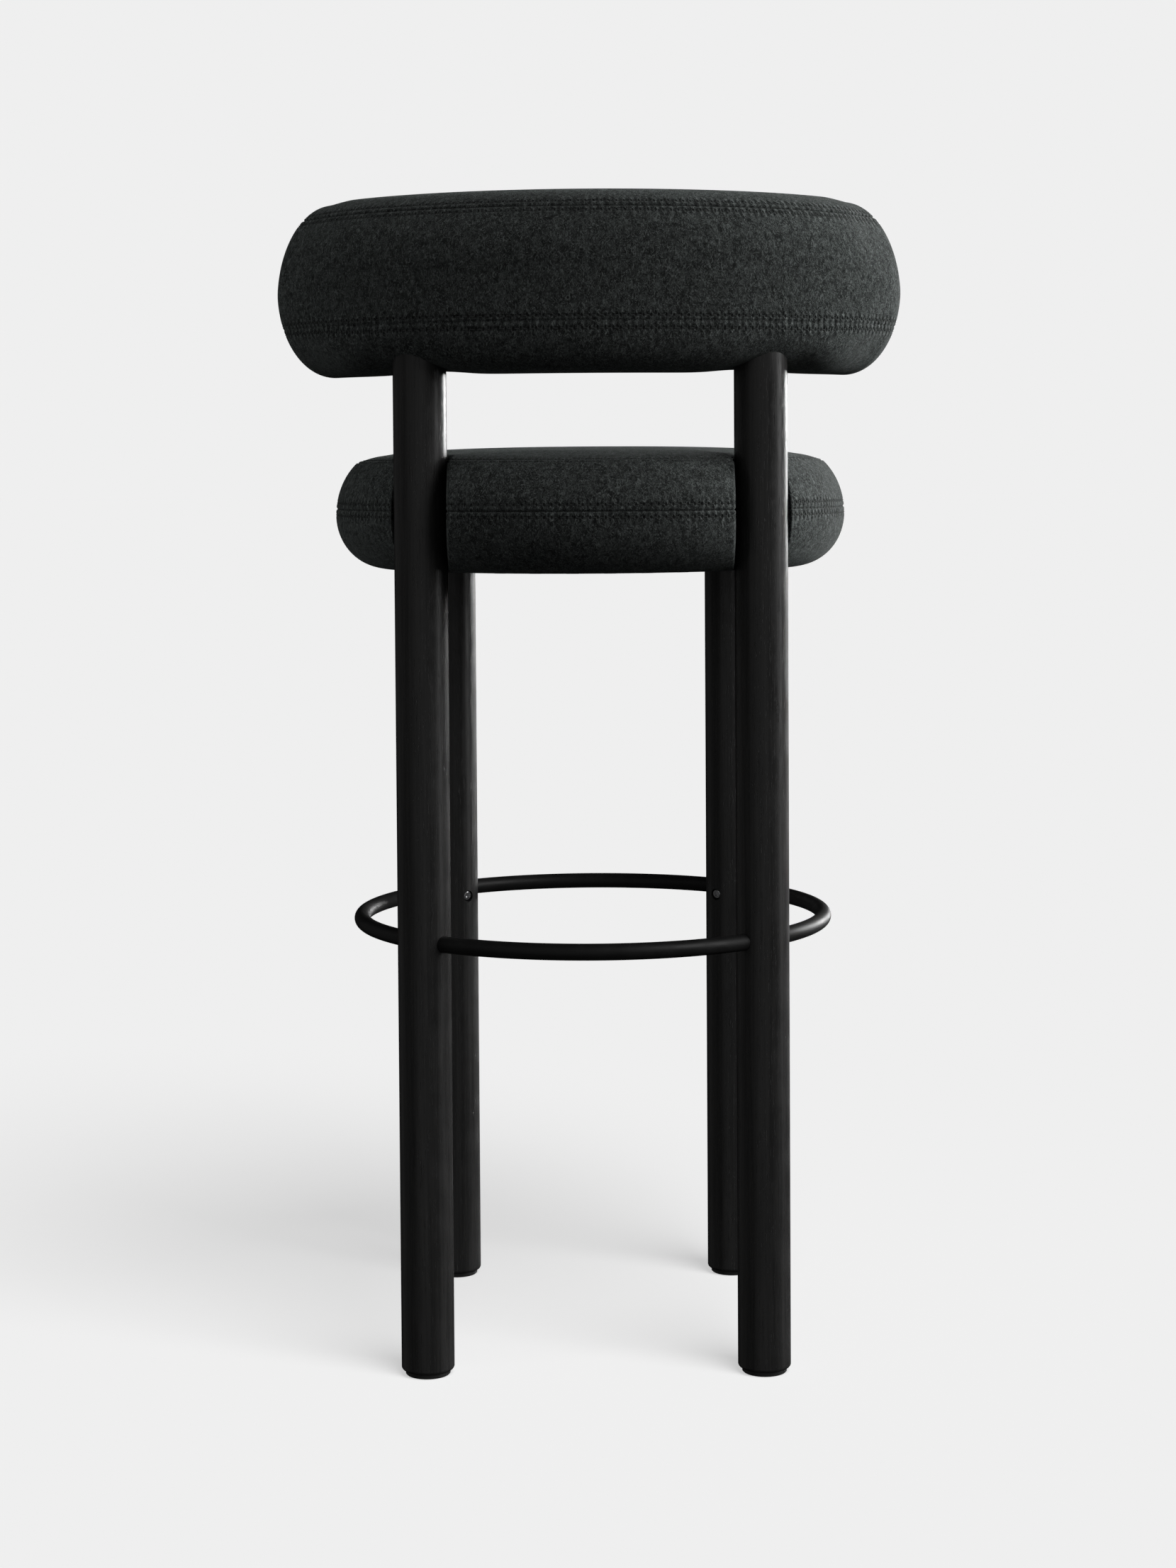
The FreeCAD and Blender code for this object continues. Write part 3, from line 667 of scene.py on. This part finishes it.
# ================= cloth simulation =================
def swell(points, pinned):
    """How far each grid point moves when the cover fills under pressure and the pinned points are held."""
    mesh, ids = grid_mesh("swelling", points)
    bag = bpy.data.objects.new("swelling", mesh)
    bpy.context.scene.collection.objects.link(bag)
    held = bag.vertex_groups.new(name="held")
    held.add(sorted(set(ids[pinned].tolist())), 1.0, "REPLACE")
    cloth = bag.modifiers.new("cloth", "CLOTH")
    cloth.settings.quality = CLOTH_QUALITY
    cloth.settings.mass = CLOTH_MASS
    cloth.settings.tension_stiffness = CLOTH_STIFFNESS
    cloth.settings.compression_stiffness = CLOTH_STIFFNESS
    cloth.settings.bending_stiffness = CLOTH_BENDING
    cloth.settings.use_pressure = True
    cloth.settings.uniform_pressure_force = CLOTH_PRESSURE
    cloth.settings.vertex_group_mass = "held"
    cloth.settings.effector_weights.gravity = 0
    cloth.point_cache.frame_start = 1
    cloth.point_cache.frame_end = CLOTH_FRAMES
    for number in range(1, CLOTH_FRAMES + 1):
        bpy.context.scene.frame_set(number)
    evaluated = bag.evaluated_get(bpy.context.evaluated_depsgraph_get())
    filled = evaluated.to_mesh()
    places = np.zeros(len(filled.vertices) * 3, np.float32)
    filled.vertices.foreach_get("co", places)
    moved = places.reshape(-1, 3)[ids] - points
    evaluated.to_mesh_clear()
    bpy.data.objects.remove(bag)
    bpy.context.scene.frame_set(1)
    size = np.linalg.norm(moved, axis=2, keepdims=True)
    return moved * (np.minimum(size, SWELL_CAP) / np.maximum(size, TINY))


def spread_over(moved, t_coarse, s_coarse, t, s):
    """A coarse grid of moves interpolated on a fine grid, closed along the columns."""
    wrapped = np.concatenate([moved, moved[:, :1]], axis=1)
    s_wrapped = np.append(s_coarse, 1.0 + s_coarse[0])
    grids = []
    for axis in range(3):
        columns = [np.interp(t, t_coarse, values) for values in wrapped[:, :, axis].T]
        rows = np.array(columns).T
        grids.append([np.interp(s, s_wrapped, row) for row in rows])
    return np.stack(grids, axis=2)


# ================= seat cushion =================
def seat_profile():
    """(distance, radius, height) along the seat's half section, from its bottom's middle to its top's."""
    turn = np.linspace(0, math.pi / 2, PROFILE_STEPS)
    low_centre = SEAT_RADIUS - LOWER_CORNER_WIDTH
    high_centre = SEAT_RADIUS - UPPER_CORNER_WIDTH
    hidden = SEAT_BOTTOM + LINING_RECESS
    radius = [0.0, LINING_RADIUS - MM, LINING_RADIUS]
    height = [hidden, hidden, SEAT_BOTTOM]
    radius += list(low_centre + LOWER_CORNER_WIDTH * np.sin(turn))
    height += list(WIDEST_Z - (WIDEST_Z - SEAT_BOTTOM) * np.cos(turn))
    rise = np.linspace(WIDEST_Z, SEAT_TOP_SEAM, SIDE_STEPS)[1:]
    lean = (rise - WIDEST_Z) / (SEAT_CROWN - WIDEST_Z)
    radius += list(high_centre + UPPER_CORNER_WIDTH * np.sqrt(1 - lean ** 2))
    height += list(rise)
    top = np.linspace(radius[-1], 0, PROFILE_STEPS)[1:]
    edge = np.clip((top - FLAT_RADIUS) / (TOP_PANEL_RADIUS - FLAT_RADIUS), 0, 2)
    radius += list(top)
    height += list(SEAT_CROWN - CROWN_DROP * (top / FLAT_RADIUS) ** CROWN_POWER - EDGE_DROP * edge ** 2)
    section = np.stack([radius, height], axis=1)
    return distances_along(section), section[:, 0], section[:, 1]


def smooth_step(value, low, high):
    """0 below low, 1 above high, smooth between."""
    share = np.clip((value - low) / (high - low), 0, 1)
    return share * share * (3 - 2 * share)


def between(pair, share):
    """The value that lies share of the way from the first of the pair to the second."""
    return pair[0] + (pair[1] - pair[0]) * share


def smooth_min(a, b, reach):
    """The smaller of a and b, rounded over where they come within reach of each other."""
    share = np.clip(0.5 + 0.5 * (b - a) / reach, 0, 1)
    return b * (1 - share) + a * share - reach * share * (1 - share)


def seat_rays(angle):
    """Start and direction of the line that each column of the seat follows outwards.
    The lines run out sideways at the seat's sides and turn towards its front and back beside the legs."""
    tip = SEAT_RADIUS * np.stack([np.cos(angle), np.sin(angle)], axis=-1)
    start = tip * (COLUMN_START, 0.0)
    way = tip - start
    return start, way / np.linalg.norm(way, axis=-1, keepdims=True)


def disc_reach(start, way, radius):
    """How far along its line each column meets a circle round the seat's middle."""
    along = (start * way).sum(-1)
    return np.sqrt(along ** 2 + radius ** 2 - (start ** 2).sum(-1)) - along


def notch_reach(start, way, leg, half_width):
    """How far along its line each column meets the notch round a leg, open straight forwards or back."""
    side = np.array([np.sign(leg.x), np.sign(leg.y)])
    start, way = start * side, way * side
    x, y = abs(leg.x), abs(leg.y)
    from_leg = start - (x, y)
    along = (from_leg * way).sum(-1)
    inside = along ** 2 - (from_leg ** 2).sum(-1) + half_width ** 2
    heads_in = (start[..., 0] >= 0) & (way[..., 1] > 0)
    circle = np.where((inside > 0) & heads_in, -along - np.sqrt(np.maximum(inside, 0)), BEYOND_REACH)
    wall = (x - half_width - start[..., 0]) / np.maximum(way[..., 0], TINY)
    past = heads_in & (wall > 0) & (start[..., 1] + wall * way[..., 1] > y)
    return np.minimum(circle, np.where(past, wall, BEYOND_REACH))


def notch_rounding(start, way, leg):
    """Rounding of the notch's edge at each column, smaller on the leg's outer side than on its inner."""
    side = np.array([np.sign(leg.x), np.sign(leg.y)])
    start, way = start * side, way * side
    passing = (start[..., 0] - abs(leg.x)) * way[..., 1] - (start[..., 1] - abs(leg.y)) * way[..., 0]
    return between(NOTCH_ROUNDING, smooth_step(-passing, *ROUNDING_BLEND))


def notch_width(height):
    """Half width of the notches at a row of the seat: it opens out at the top edge and a little below."""
    flat = SEAT_CROWN - CROWN_DROP
    up = np.clip((height - flat + NOTCH_EDGE) / NOTCH_EDGE, 0, 1)
    down = np.clip((SEAT_BOTTOM + NOTCH_FOOT - height) / NOTCH_FOOT, 0, 1)
    opened = NOTCH_EDGE * (1 - np.sqrt(1 - up ** 2)) + NOTCH_FOOT * down ** 2
    return LEG_RADIUS + LEG_GAP + opened


def seat_points(radius, height, angle):
    """The seat's surface over rows of radius and height and columns of angle."""
    start, way = seat_rays(angle)
    width = notch_width(height)[:, None]
    reach = disc_reach(start, way, np.maximum(radius, FLAT_RADIUS)[:, None])
    for leg in LEG_AXES:
        reach = smooth_min(reach, notch_reach(start, way, leg, width), notch_rounding(start, way, leg))
    plan = start + way * reach[:, :, None]
    distance = np.linalg.norm(plan, axis=2)
    inwards = (radius / FLAT_RADIUS)[:, None] * distance
    share = np.clip((radius - LINING_RADIUS) / (FLAT_RADIUS - LINING_RADIUS), 0, 1)[:, None]
    below = np.where(share > 0, LINING_RADIUS + (distance - LINING_RADIUS) * share, radius[:, None])
    above = (height > WIDEST_Z)[:, None]
    kept = np.where((radius >= FLAT_RADIUS)[:, None], distance, np.where(above, inwards, below))
    plan = plan * (kept / distance)[:, :, None]
    level = np.broadcast_to(height[:, None], kept.shape)
    return np.concatenate([plan, level[:, :, None]], axis=2)


def seat_grid(count, rows):
    """(points, column parameters) of the seat for a number of columns and given rows."""
    t, radius, height = seat_profile()

    def widest(s):
        return seat_points(np.array([SEAT_RADIUS]), np.array([WIDEST_Z]), 2 * math.pi * s)[0]

    s = even_columns(widest, count)
    return seat_points(np.interp(rows, t, radius), np.interp(rows, t, height), 2 * math.pi * s), s


def seat_seams():
    """The seat's seams as (place along the profile, offsets of its stitch rows)."""
    t, radius, height = seat_profile()
    outer = radius > SEAT_RADIUS - UPPER_CORNER_WIDTH
    side = outer & (height > SEAT_BOTTOM + MM) & (height <= SEAT_TOP_SEAM)
    low = np.interp(SEAT_MID_SEAM, height[side], t[side])
    high = np.interp(SEAT_TOP_SEAM, height[side], t[side])
    return [(low, (-SEAT_STITCH_OFFSET, SEAT_STITCH_OFFSET)), (high, (SEAT_STITCH_OFFSET,))]


def groove(t, seam, depth, width):
    """Depth of a seam's groove at each row."""
    return depth * np.exp(-((t - seam) / width) ** 2)


def sewn_relief(t, seams, depths):
    """How far each row is drawn in by the seams and the stitch rows beside them."""
    relief = np.zeros(len(t))
    for (seam, offsets), depth in zip(seams, depths):
        relief += groove(t, seam, depth, SEAM_WIDTH)
        for offset in offsets:
            relief += groove(t, seam + offset, STITCH_ROW_DEPTH, STITCH_ROW_WIDTH)
    return relief


def sew(name, points, t, seams, depths, skip=None):
    """A cushion mesh with its grooves, and the threads of its stitch rows as a second mesh.
    skip tells which places get no stitch."""
    mesh, ids = grid_mesh(name, points, sewing_floats(points, t, seams, depths))
    normals = vertex_normals(mesh, ids)
    points = points - normals * sewn_relief(t, seams, depths)[:, None, None]
    move_vertices(mesh, ids, points)
    normals = vertex_normals(mesh, ids)
    vertices, faces = [], []
    for seam, offsets in seams:
        turns = seam_turns(points, t, seam)
        for offset in offsets:
            row = int(np.argmin(abs(t - seam - offset)))
            add_thread_row(vertices, faces, points[row], normals[row], turns, skip)
    threads = bpy.data.meshes.new(name + "_threads")
    threads.from_pydata(vertices, [], faces)
    threads.shade_smooth()
    return mesh, threads


def add_thread_row(vertices, faces, places, normals, turns, skip):
    """One short rounded thread between every two holes of a stitch row."""
    closed = np.vstack([places, places[:1]])
    lift = np.vstack([normals, normals[:1]])
    count = round(turns[-1])
    half = THREAD_SHARE / 2
    for number in range(count):
        stations = np.linspace(number - half, number + half, THREAD_RINGS) % count
        path = np.stack([np.interp(stations, turns, closed[:, k]) for k in range(3)], axis=1)
        up = np.array([np.interp(number, turns, lift[:, k]) for k in range(3)])
        if skip is None or not skip(path[THREAD_RINGS // 2]):
            add_thread(vertices, faces, path, up)


def add_thread(vertices, faces, path, up):
    """One thread: a spindle along the path that dips into the cloth at both ends."""
    rings = len(path)
    sides = THREAD_SIDES
    along = path[-1] - path[0]
    along /= np.linalg.norm(along)
    across = np.cross(along, up)
    across /= np.linalg.norm(across)
    up = np.cross(across, along)
    first = len(vertices)
    for ring, place in enumerate(path):
        way_along = THREAD_BLUNTNESS + (1 - 2 * THREAD_BLUNTNESS) * ring / (rings - 1)
        share = math.sin(math.pi * way_along)
        centre = place + up * THREAD_RADIUS * (THREAD_LIFT * share - THREAD_SINK)
        for side in range(sides):
            turn = 2 * math.pi * side / sides
            offset = across * math.cos(turn) + up * math.sin(turn)
            vertices.append(tuple(centre + offset * THREAD_RADIUS * share))
    for ring in range(rings - 1):
        for side in range(sides):
            a = first + ring * sides + side
            b = first + ring * sides + (side + 1) % sides
            faces.append((a, a + sides, b + sides, b))
    faces.append(tuple(first + side for side in range(sides)))
    faces.append(tuple(first + (rings - 1) * sides + side for side in reversed(range(sides))))


def beside_leg(place):
    """True where a stitch would lie in the narrow gap beside a leg."""
    nearest = min(math.hypot(place[0] - leg.x, place[1] - leg.y) for leg in LEG_AXES)
    return nearest < LEG_RADIUS + STITCH_TO_LEG


def make_seat(felt, thread):
    """The seat cushion and its threads."""
    length = seat_profile()[0][-1]
    seams = seat_seams()
    rows = detailed_rows(length, seams, FINE_ROWS)
    points, s = seat_grid(SEAT_COLUMNS, rows)
    coarse = detailed_rows(length, seams, SEAT_BAG_ROWS)
    bag, s_coarse = seat_grid(SEAT_BAG_COLUMNS, coarse)
    pinned = near_legs(bag) | pinned_rows(coarse, seams, bag.shape[1])
    pinned |= (coarse < LINING_RADIUS + HELD_BY_LINING)[:, None]
    points = points + spread_over(swell(bag, pinned), coarse, s_coarse, rows, s)
    mesh, threads = sew("seat_cushion", points, rows, seams, SEAT_SEAM_DEPTHS, beside_leg)
    cushion = new_object("seat_cushion", mesh, felt)
    sewing = new_object("seat_stitching", threads, thread)
    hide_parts("seat_cover_top", "seat_cover_upper_band", "seat_cover_lower_band", "seat_foam")
    return cushion, sewing


def near_legs(points):
    """True at grid points close to a leg."""
    gaps = [np.hypot(points[:, :, 0] - leg.x, points[:, :, 1] - leg.y) for leg in LEG_AXES]
    return np.minimum.reduce(gaps) < LEG_RADIUS + HELD_BY_LEG


def pinned_rows(t, seams, columns):
    """True on the rows that lie on a seam."""
    on_seam = np.array([min(abs(x - seam) for seam, _ in seams) < ON_SEAM for x in t])
    return np.broadcast_to(on_seam[:, None], (len(t), columns))


# ================= backrest cushion =================
def back_columns(s):
    """(point on the arc's middle line, direction outwards, bend angle) at each place round the backrest."""
    arc = 2 * BACK_HALF_ANGLE * BACK_RADIUS
    cap = math.pi * BACK_HALF_THICK
    at = (s % 1.0) * (2 * arc + 2 * cap)
    bend = np.where(at < arc, BACK_HALF_ANGLE * (1 - 2 * at / arc), 0.0)
    turn = np.zeros_like(at)
    first_cap = (at >= arc) & (at < arc + cap)
    bend = np.where(first_cap, -BACK_HALF_ANGLE, bend)
    turn = np.where(first_cap, -(at - arc) / BACK_HALF_THICK, turn)
    inside = (at >= arc + cap) & (at < 2 * arc + cap)
    bend = np.where(inside, BACK_HALF_ANGLE * (2 * (at - arc - cap) / arc - 1), bend)
    turn = np.where(inside, math.pi, turn)
    last_cap = at >= 2 * arc + cap
    bend = np.where(last_cap, BACK_HALF_ANGLE, bend)
    turn = np.where(last_cap, math.pi - (at - 2 * arc - cap) / BACK_HALF_THICK, turn)
    line = np.stack([BACK_RADIUS * np.sin(bend), BACK_CENTRE_Y + BACK_RADIUS * np.cos(bend)], axis=-1)
    way = np.stack([np.sin(bend + turn), np.cos(bend + turn)], axis=-1)
    return line, way, abs(bend)


def back_lengths():
    """Nominal lengths of the backrest's bottom, band and top along its half section."""
    band = BACK_TOP_SEAM - BACK_LOW_SEAM + BACK_BAND_SPARE
    return BACK_BOTTOM_LENGTH, band, BACK_TOP_LENGTH


def back_seams():
    """The backrest's seams as (place along the profile, offsets of its stitch rows)."""
    bottom, band, _ = back_lengths()
    low = (-BACK_LOW_STITCH_OFFSET, BACK_LOW_STITCH_OFFSET)
    high = (-BACK_TOP_STITCH_OFFSET, BACK_TOP_STITCH_OFFSET)
    return [(bottom, low), (bottom + band, high)]


def back_corners(bend):
    """(height and power of the low corner, height of the top corner, crown's height) at each bend."""
    ends = smooth_step(bend, CORNER_CHANGE_FROM, BACK_HALF_ANGLE)
    crown = BACK_CROWN - END_DROP * smooth_step(bend, END_DROP_FROM, BACK_HALF_ANGLE)
    low_power = between(LOW_CORNER_POWER, ends)
    return between(LOW_CORNER_HEIGHT, ends), low_power, between(TOP_CORNER_HEIGHT, ends), crown


def back_points(rows, s):
    """The backrest's surface over rows along its half section and columns round it."""
    bottom, band, top = back_lengths()
    line, way, bend = back_columns(s)
    tall, power, top_tall, crown = back_corners(bend[None, :])
    low_start = BACK_BOTTOM + tall
    high_start = crown - top_tall
    t = rows[:, None]
    # bottom, from the ridge to the low seam
    depth_at_seam = np.clip((low_start - BACK_LOW_SEAM) / tall, 0, 1)
    seam_turn = np.arcsin(depth_at_seam ** (power / 2))
    turn = seam_turn + (math.pi / 2 - seam_turn) * (1 - np.clip(t / bottom, 0, 1))
    low_inset = BACK_HALF_THICK * (1 - np.cos(np.minimum(turn, math.pi / 2)).clip(0) ** (2 / power))
    low_z = low_start - tall * np.sin(turn) ** (2 / power)
    # band between the seams
    band_z = BACK_LOW_SEAM + (BACK_TOP_SEAM - BACK_LOW_SEAM) * np.clip((t - bottom) / band, 0, 1)
    under = np.clip((low_start - band_z) / tall, 0, 1)
    over = np.clip((band_z - high_start) / top_tall, 0, 1)
    band_inset = BACK_HALF_THICK * (2 - (1 - under ** power) ** (1 / power) - np.sqrt(1 - over ** 2))
    # top, from the high seam to the ridge
    top_turn = np.arcsin((BACK_TOP_SEAM - high_start) / top_tall)
    up = top_turn + (math.pi / 2 - top_turn) * np.clip((t - bottom - band) / top, 0, 1)
    top_inset = BACK_HALF_THICK * (1 - np.cos(up))
    top_z = high_start + top_tall * np.sin(up)
    inset = np.where(t <= bottom, low_inset, np.where(t <= bottom + band, band_inset, top_inset))
    z = np.where(t <= bottom, low_z, np.where(t <= bottom + band, band_z, top_z))
    reach = BACK_HALF_THICK - inset
    reach[0] = 0.0
    reach[-1] = 0.0
    plan = line[None, :, :] + way[None, :, :] * reach[:, :, None]
    z = z + dimple(plan, z)
    return np.concatenate([plan, z[:, :, None]], axis=2)


def dimple(plan, z):
    """How far the backrest's underside is drawn up round the legs that enter it."""
    low = smooth_step(BACK_LOW_SEAM - z, *DIMPLE_FADE)
    rise = np.zeros_like(z)
    for leg in REAR_LEG_AXES:
        shift = DIMPLE_SHIFT * np.sign(leg.x)
        gap = np.hypot(plan[:, :, 0] - leg.x - shift, plan[:, :, 1] - leg.y) - LEG_RADIUS
        rise += DIMPLE_RISE * np.exp(-(np.maximum(gap, 0) / DIMPLE_REACH) ** 2)
    return rise * low


def back_even_columns(arc_steps, cap_steps):
    """Column parameters: the same bends outside and inside, so that the ridges weld."""
    arc = 2 * BACK_HALF_ANGLE * BACK_RADIUS
    cap = math.pi * BACK_HALF_THICK
    marks = np.concatenate([
        np.linspace(0, arc, arc_steps + 1)[:-1],
        arc + np.linspace(0, cap, cap_steps + 1)[:-1],
        arc + cap + np.linspace(0, arc, arc_steps + 1)[:-1],
        2 * arc + cap + np.linspace(0, cap, cap_steps + 1)[:-1],
    ])
    return marks / (2 * arc + 2 * cap)


def make_backrest(felt, thread):
    """The backrest cushion and its threads."""
    length = sum(back_lengths())
    seams = back_seams()
    rows = detailed_rows(length, seams, FINE_ROWS)
    s = back_even_columns(*BACK_COLUMNS)
    points = back_points(rows, s)
    coarse = detailed_rows(length, seams, BACK_BAG_ROWS)
    s_coarse = back_even_columns(*BACK_BAG_COLUMNS)
    bag = back_points(coarse, s_coarse)
    pinned = pinned_rows(coarse, seams, bag.shape[1]) | (coarse < HELD_BY_RIDGE)[:, None]
    points = points + spread_over(swell(bag, pinned), coarse, s_coarse, rows, s)
    mesh, threads = sew("backrest_cushion", points, rows, seams, BACK_SEAM_DEPTHS)
    cushion = new_object("backrest_cushion", mesh, felt)
    sewing = new_object("backrest_stitching", threads, thread)
    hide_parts("backrest_cover_top", "backrest_cover_band", "backrest_cover_bottom",
                "backrest_foam")
    return cushion, sewing


# ================= stage =================
def add_camera():
    """The camera, behind the stool and a little below the seat's top."""
    data = bpy.data.cameras.new("camera")
    data.lens = CAMERA_LENS
    data.sensor_width = CAMERA_SENSOR
    data.shift_y = CAMERA_SHIFT_Y
    camera = bpy.data.objects.new("camera", data)
    facing = Matrix.Rotation(math.pi, 4, "Z") @ Matrix.Rotation(math.pi / 2, 4, "X")
    aim = Matrix.Rotation(-CAMERA_YAW, 4, "Y") @ Matrix.Rotation(-CAMERA_PITCH, 4, "X")
    camera.matrix_world = Matrix.Translation(CAMERA_AT) @ facing @ aim @ Matrix.Rotation(CAMERA_ROLL, 4, "Z")
    bpy.context.scene.collection.objects.link(camera)
    bpy.context.scene.camera = camera


def add_sun(name, towards, strength, spread):
    """A soft distant light shining from the direction towards."""
    data = bpy.data.lights.new(name, "SUN")
    data.energy = strength
    data.angle = math.radians(spread)
    light = bpy.data.objects.new(name, data)
    light.rotation_euler = Vector(towards).to_track_quat("Z", "Y").to_euler()
    bpy.context.scene.collection.objects.link(light)
    return light


def add_lights():
    """Soft studio light, mostly from the right of the picture and from beyond the stool."""
    for name, towards, strength, spread, on_matt, on_glossy in LIGHTS:
        light = add_sun(name, towards, strength, spread)
        light.visible_diffuse = on_matt
        light.visible_glossy = on_glossy


def floor_material():
    """Pale matt floor with a glow that brings it to the backdrop's brightness where it is fully lit."""
    material = bpy.data.materials.new("floor")
    material.use_nodes = True
    tree = material.node_tree
    tree.nodes.clear()
    level = FLOOR_SUN * Vector(FLOOR_SUN_FROM).normalized().z
    glow_strength = BACKDROP - FLOOR_ALBEDO * level / math.pi
    lit = add(tree, "ShaderNodeBsdfDiffuse", {"Color": grey(FLOOR_ALBEDO)})
    glow = add(tree, "ShaderNodeEmission", {"Color": grey(1.0), "Strength": glow_strength})
    both = add(tree, "ShaderNodeAddShader", {0: lit.outputs[0], 1: glow.outputs[0]})
    add(tree, "ShaderNodeOutputMaterial", {"Surface": both.outputs[0]})
    return material


def add_floor():
    """A pale floor that runs to the horizon and melts into the backdrop."""
    signs = ((-1, -1), (1, -1), (1, 1), (-1, 1))
    corners = [(FLOOR_HALF * x, FLOOR_HALF * y, 0) for x, y in signs]
    mesh = bpy.data.meshes.new("floor")
    mesh.from_pydata(corners, [], [(0, 1, 2, 3)])
    floor = new_object("floor", mesh, floor_material())
    floor.visible_diffuse = False
    floor.visible_glossy = False
    return floor


def light_floor_alone(floor):
    """Gives the floor one light of its own and keeps all other lights off it."""
    but_floor = bpy.data.collections.new("all_but_floor")
    but_floor.objects.link(floor)
    but_floor.collection_objects[0].light_linking.link_state = "EXCLUDE"
    for light in [item for item in bpy.context.scene.objects if item.type == "LIGHT"]:
        light.light_linking.receiver_collection = but_floor
    floor_only = bpy.data.collections.new("floor_only")
    floor_only.objects.link(floor)
    floor_sun = add_sun("floor_sun", FLOOR_SUN_FROM, FLOOR_SUN, FLOOR_SUN_SPREAD)
    floor_sun.light_linking.receiver_collection = floor_only


def add_backdrop():
    """A plain pale surround that only the camera sees."""
    world = bpy.data.worlds.new("backdrop")
    world.use_nodes = True
    world.node_tree.nodes["Background"].inputs["Color"].default_value = grey(BACKDROP)
    world.cycles_visibility.diffuse = False
    world.cycles_visibility.glossy = False
    bpy.context.scene.world = world
    bpy.context.scene.view_settings.view_transform = "Standard"


add_camera()
add_backdrop()
add_lights()
light_floor_alone(add_floor())
finish_cad_nodes()
SEWN_FELT = wool_felt(sewn=True)
THREAD = sewing_thread()
seat = make_seat(SEWN_FELT, THREAD)
backrest = make_backrest(SEWN_FELT, THREAD)
for piece in (*seat, *backrest):
    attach(piece, "root")
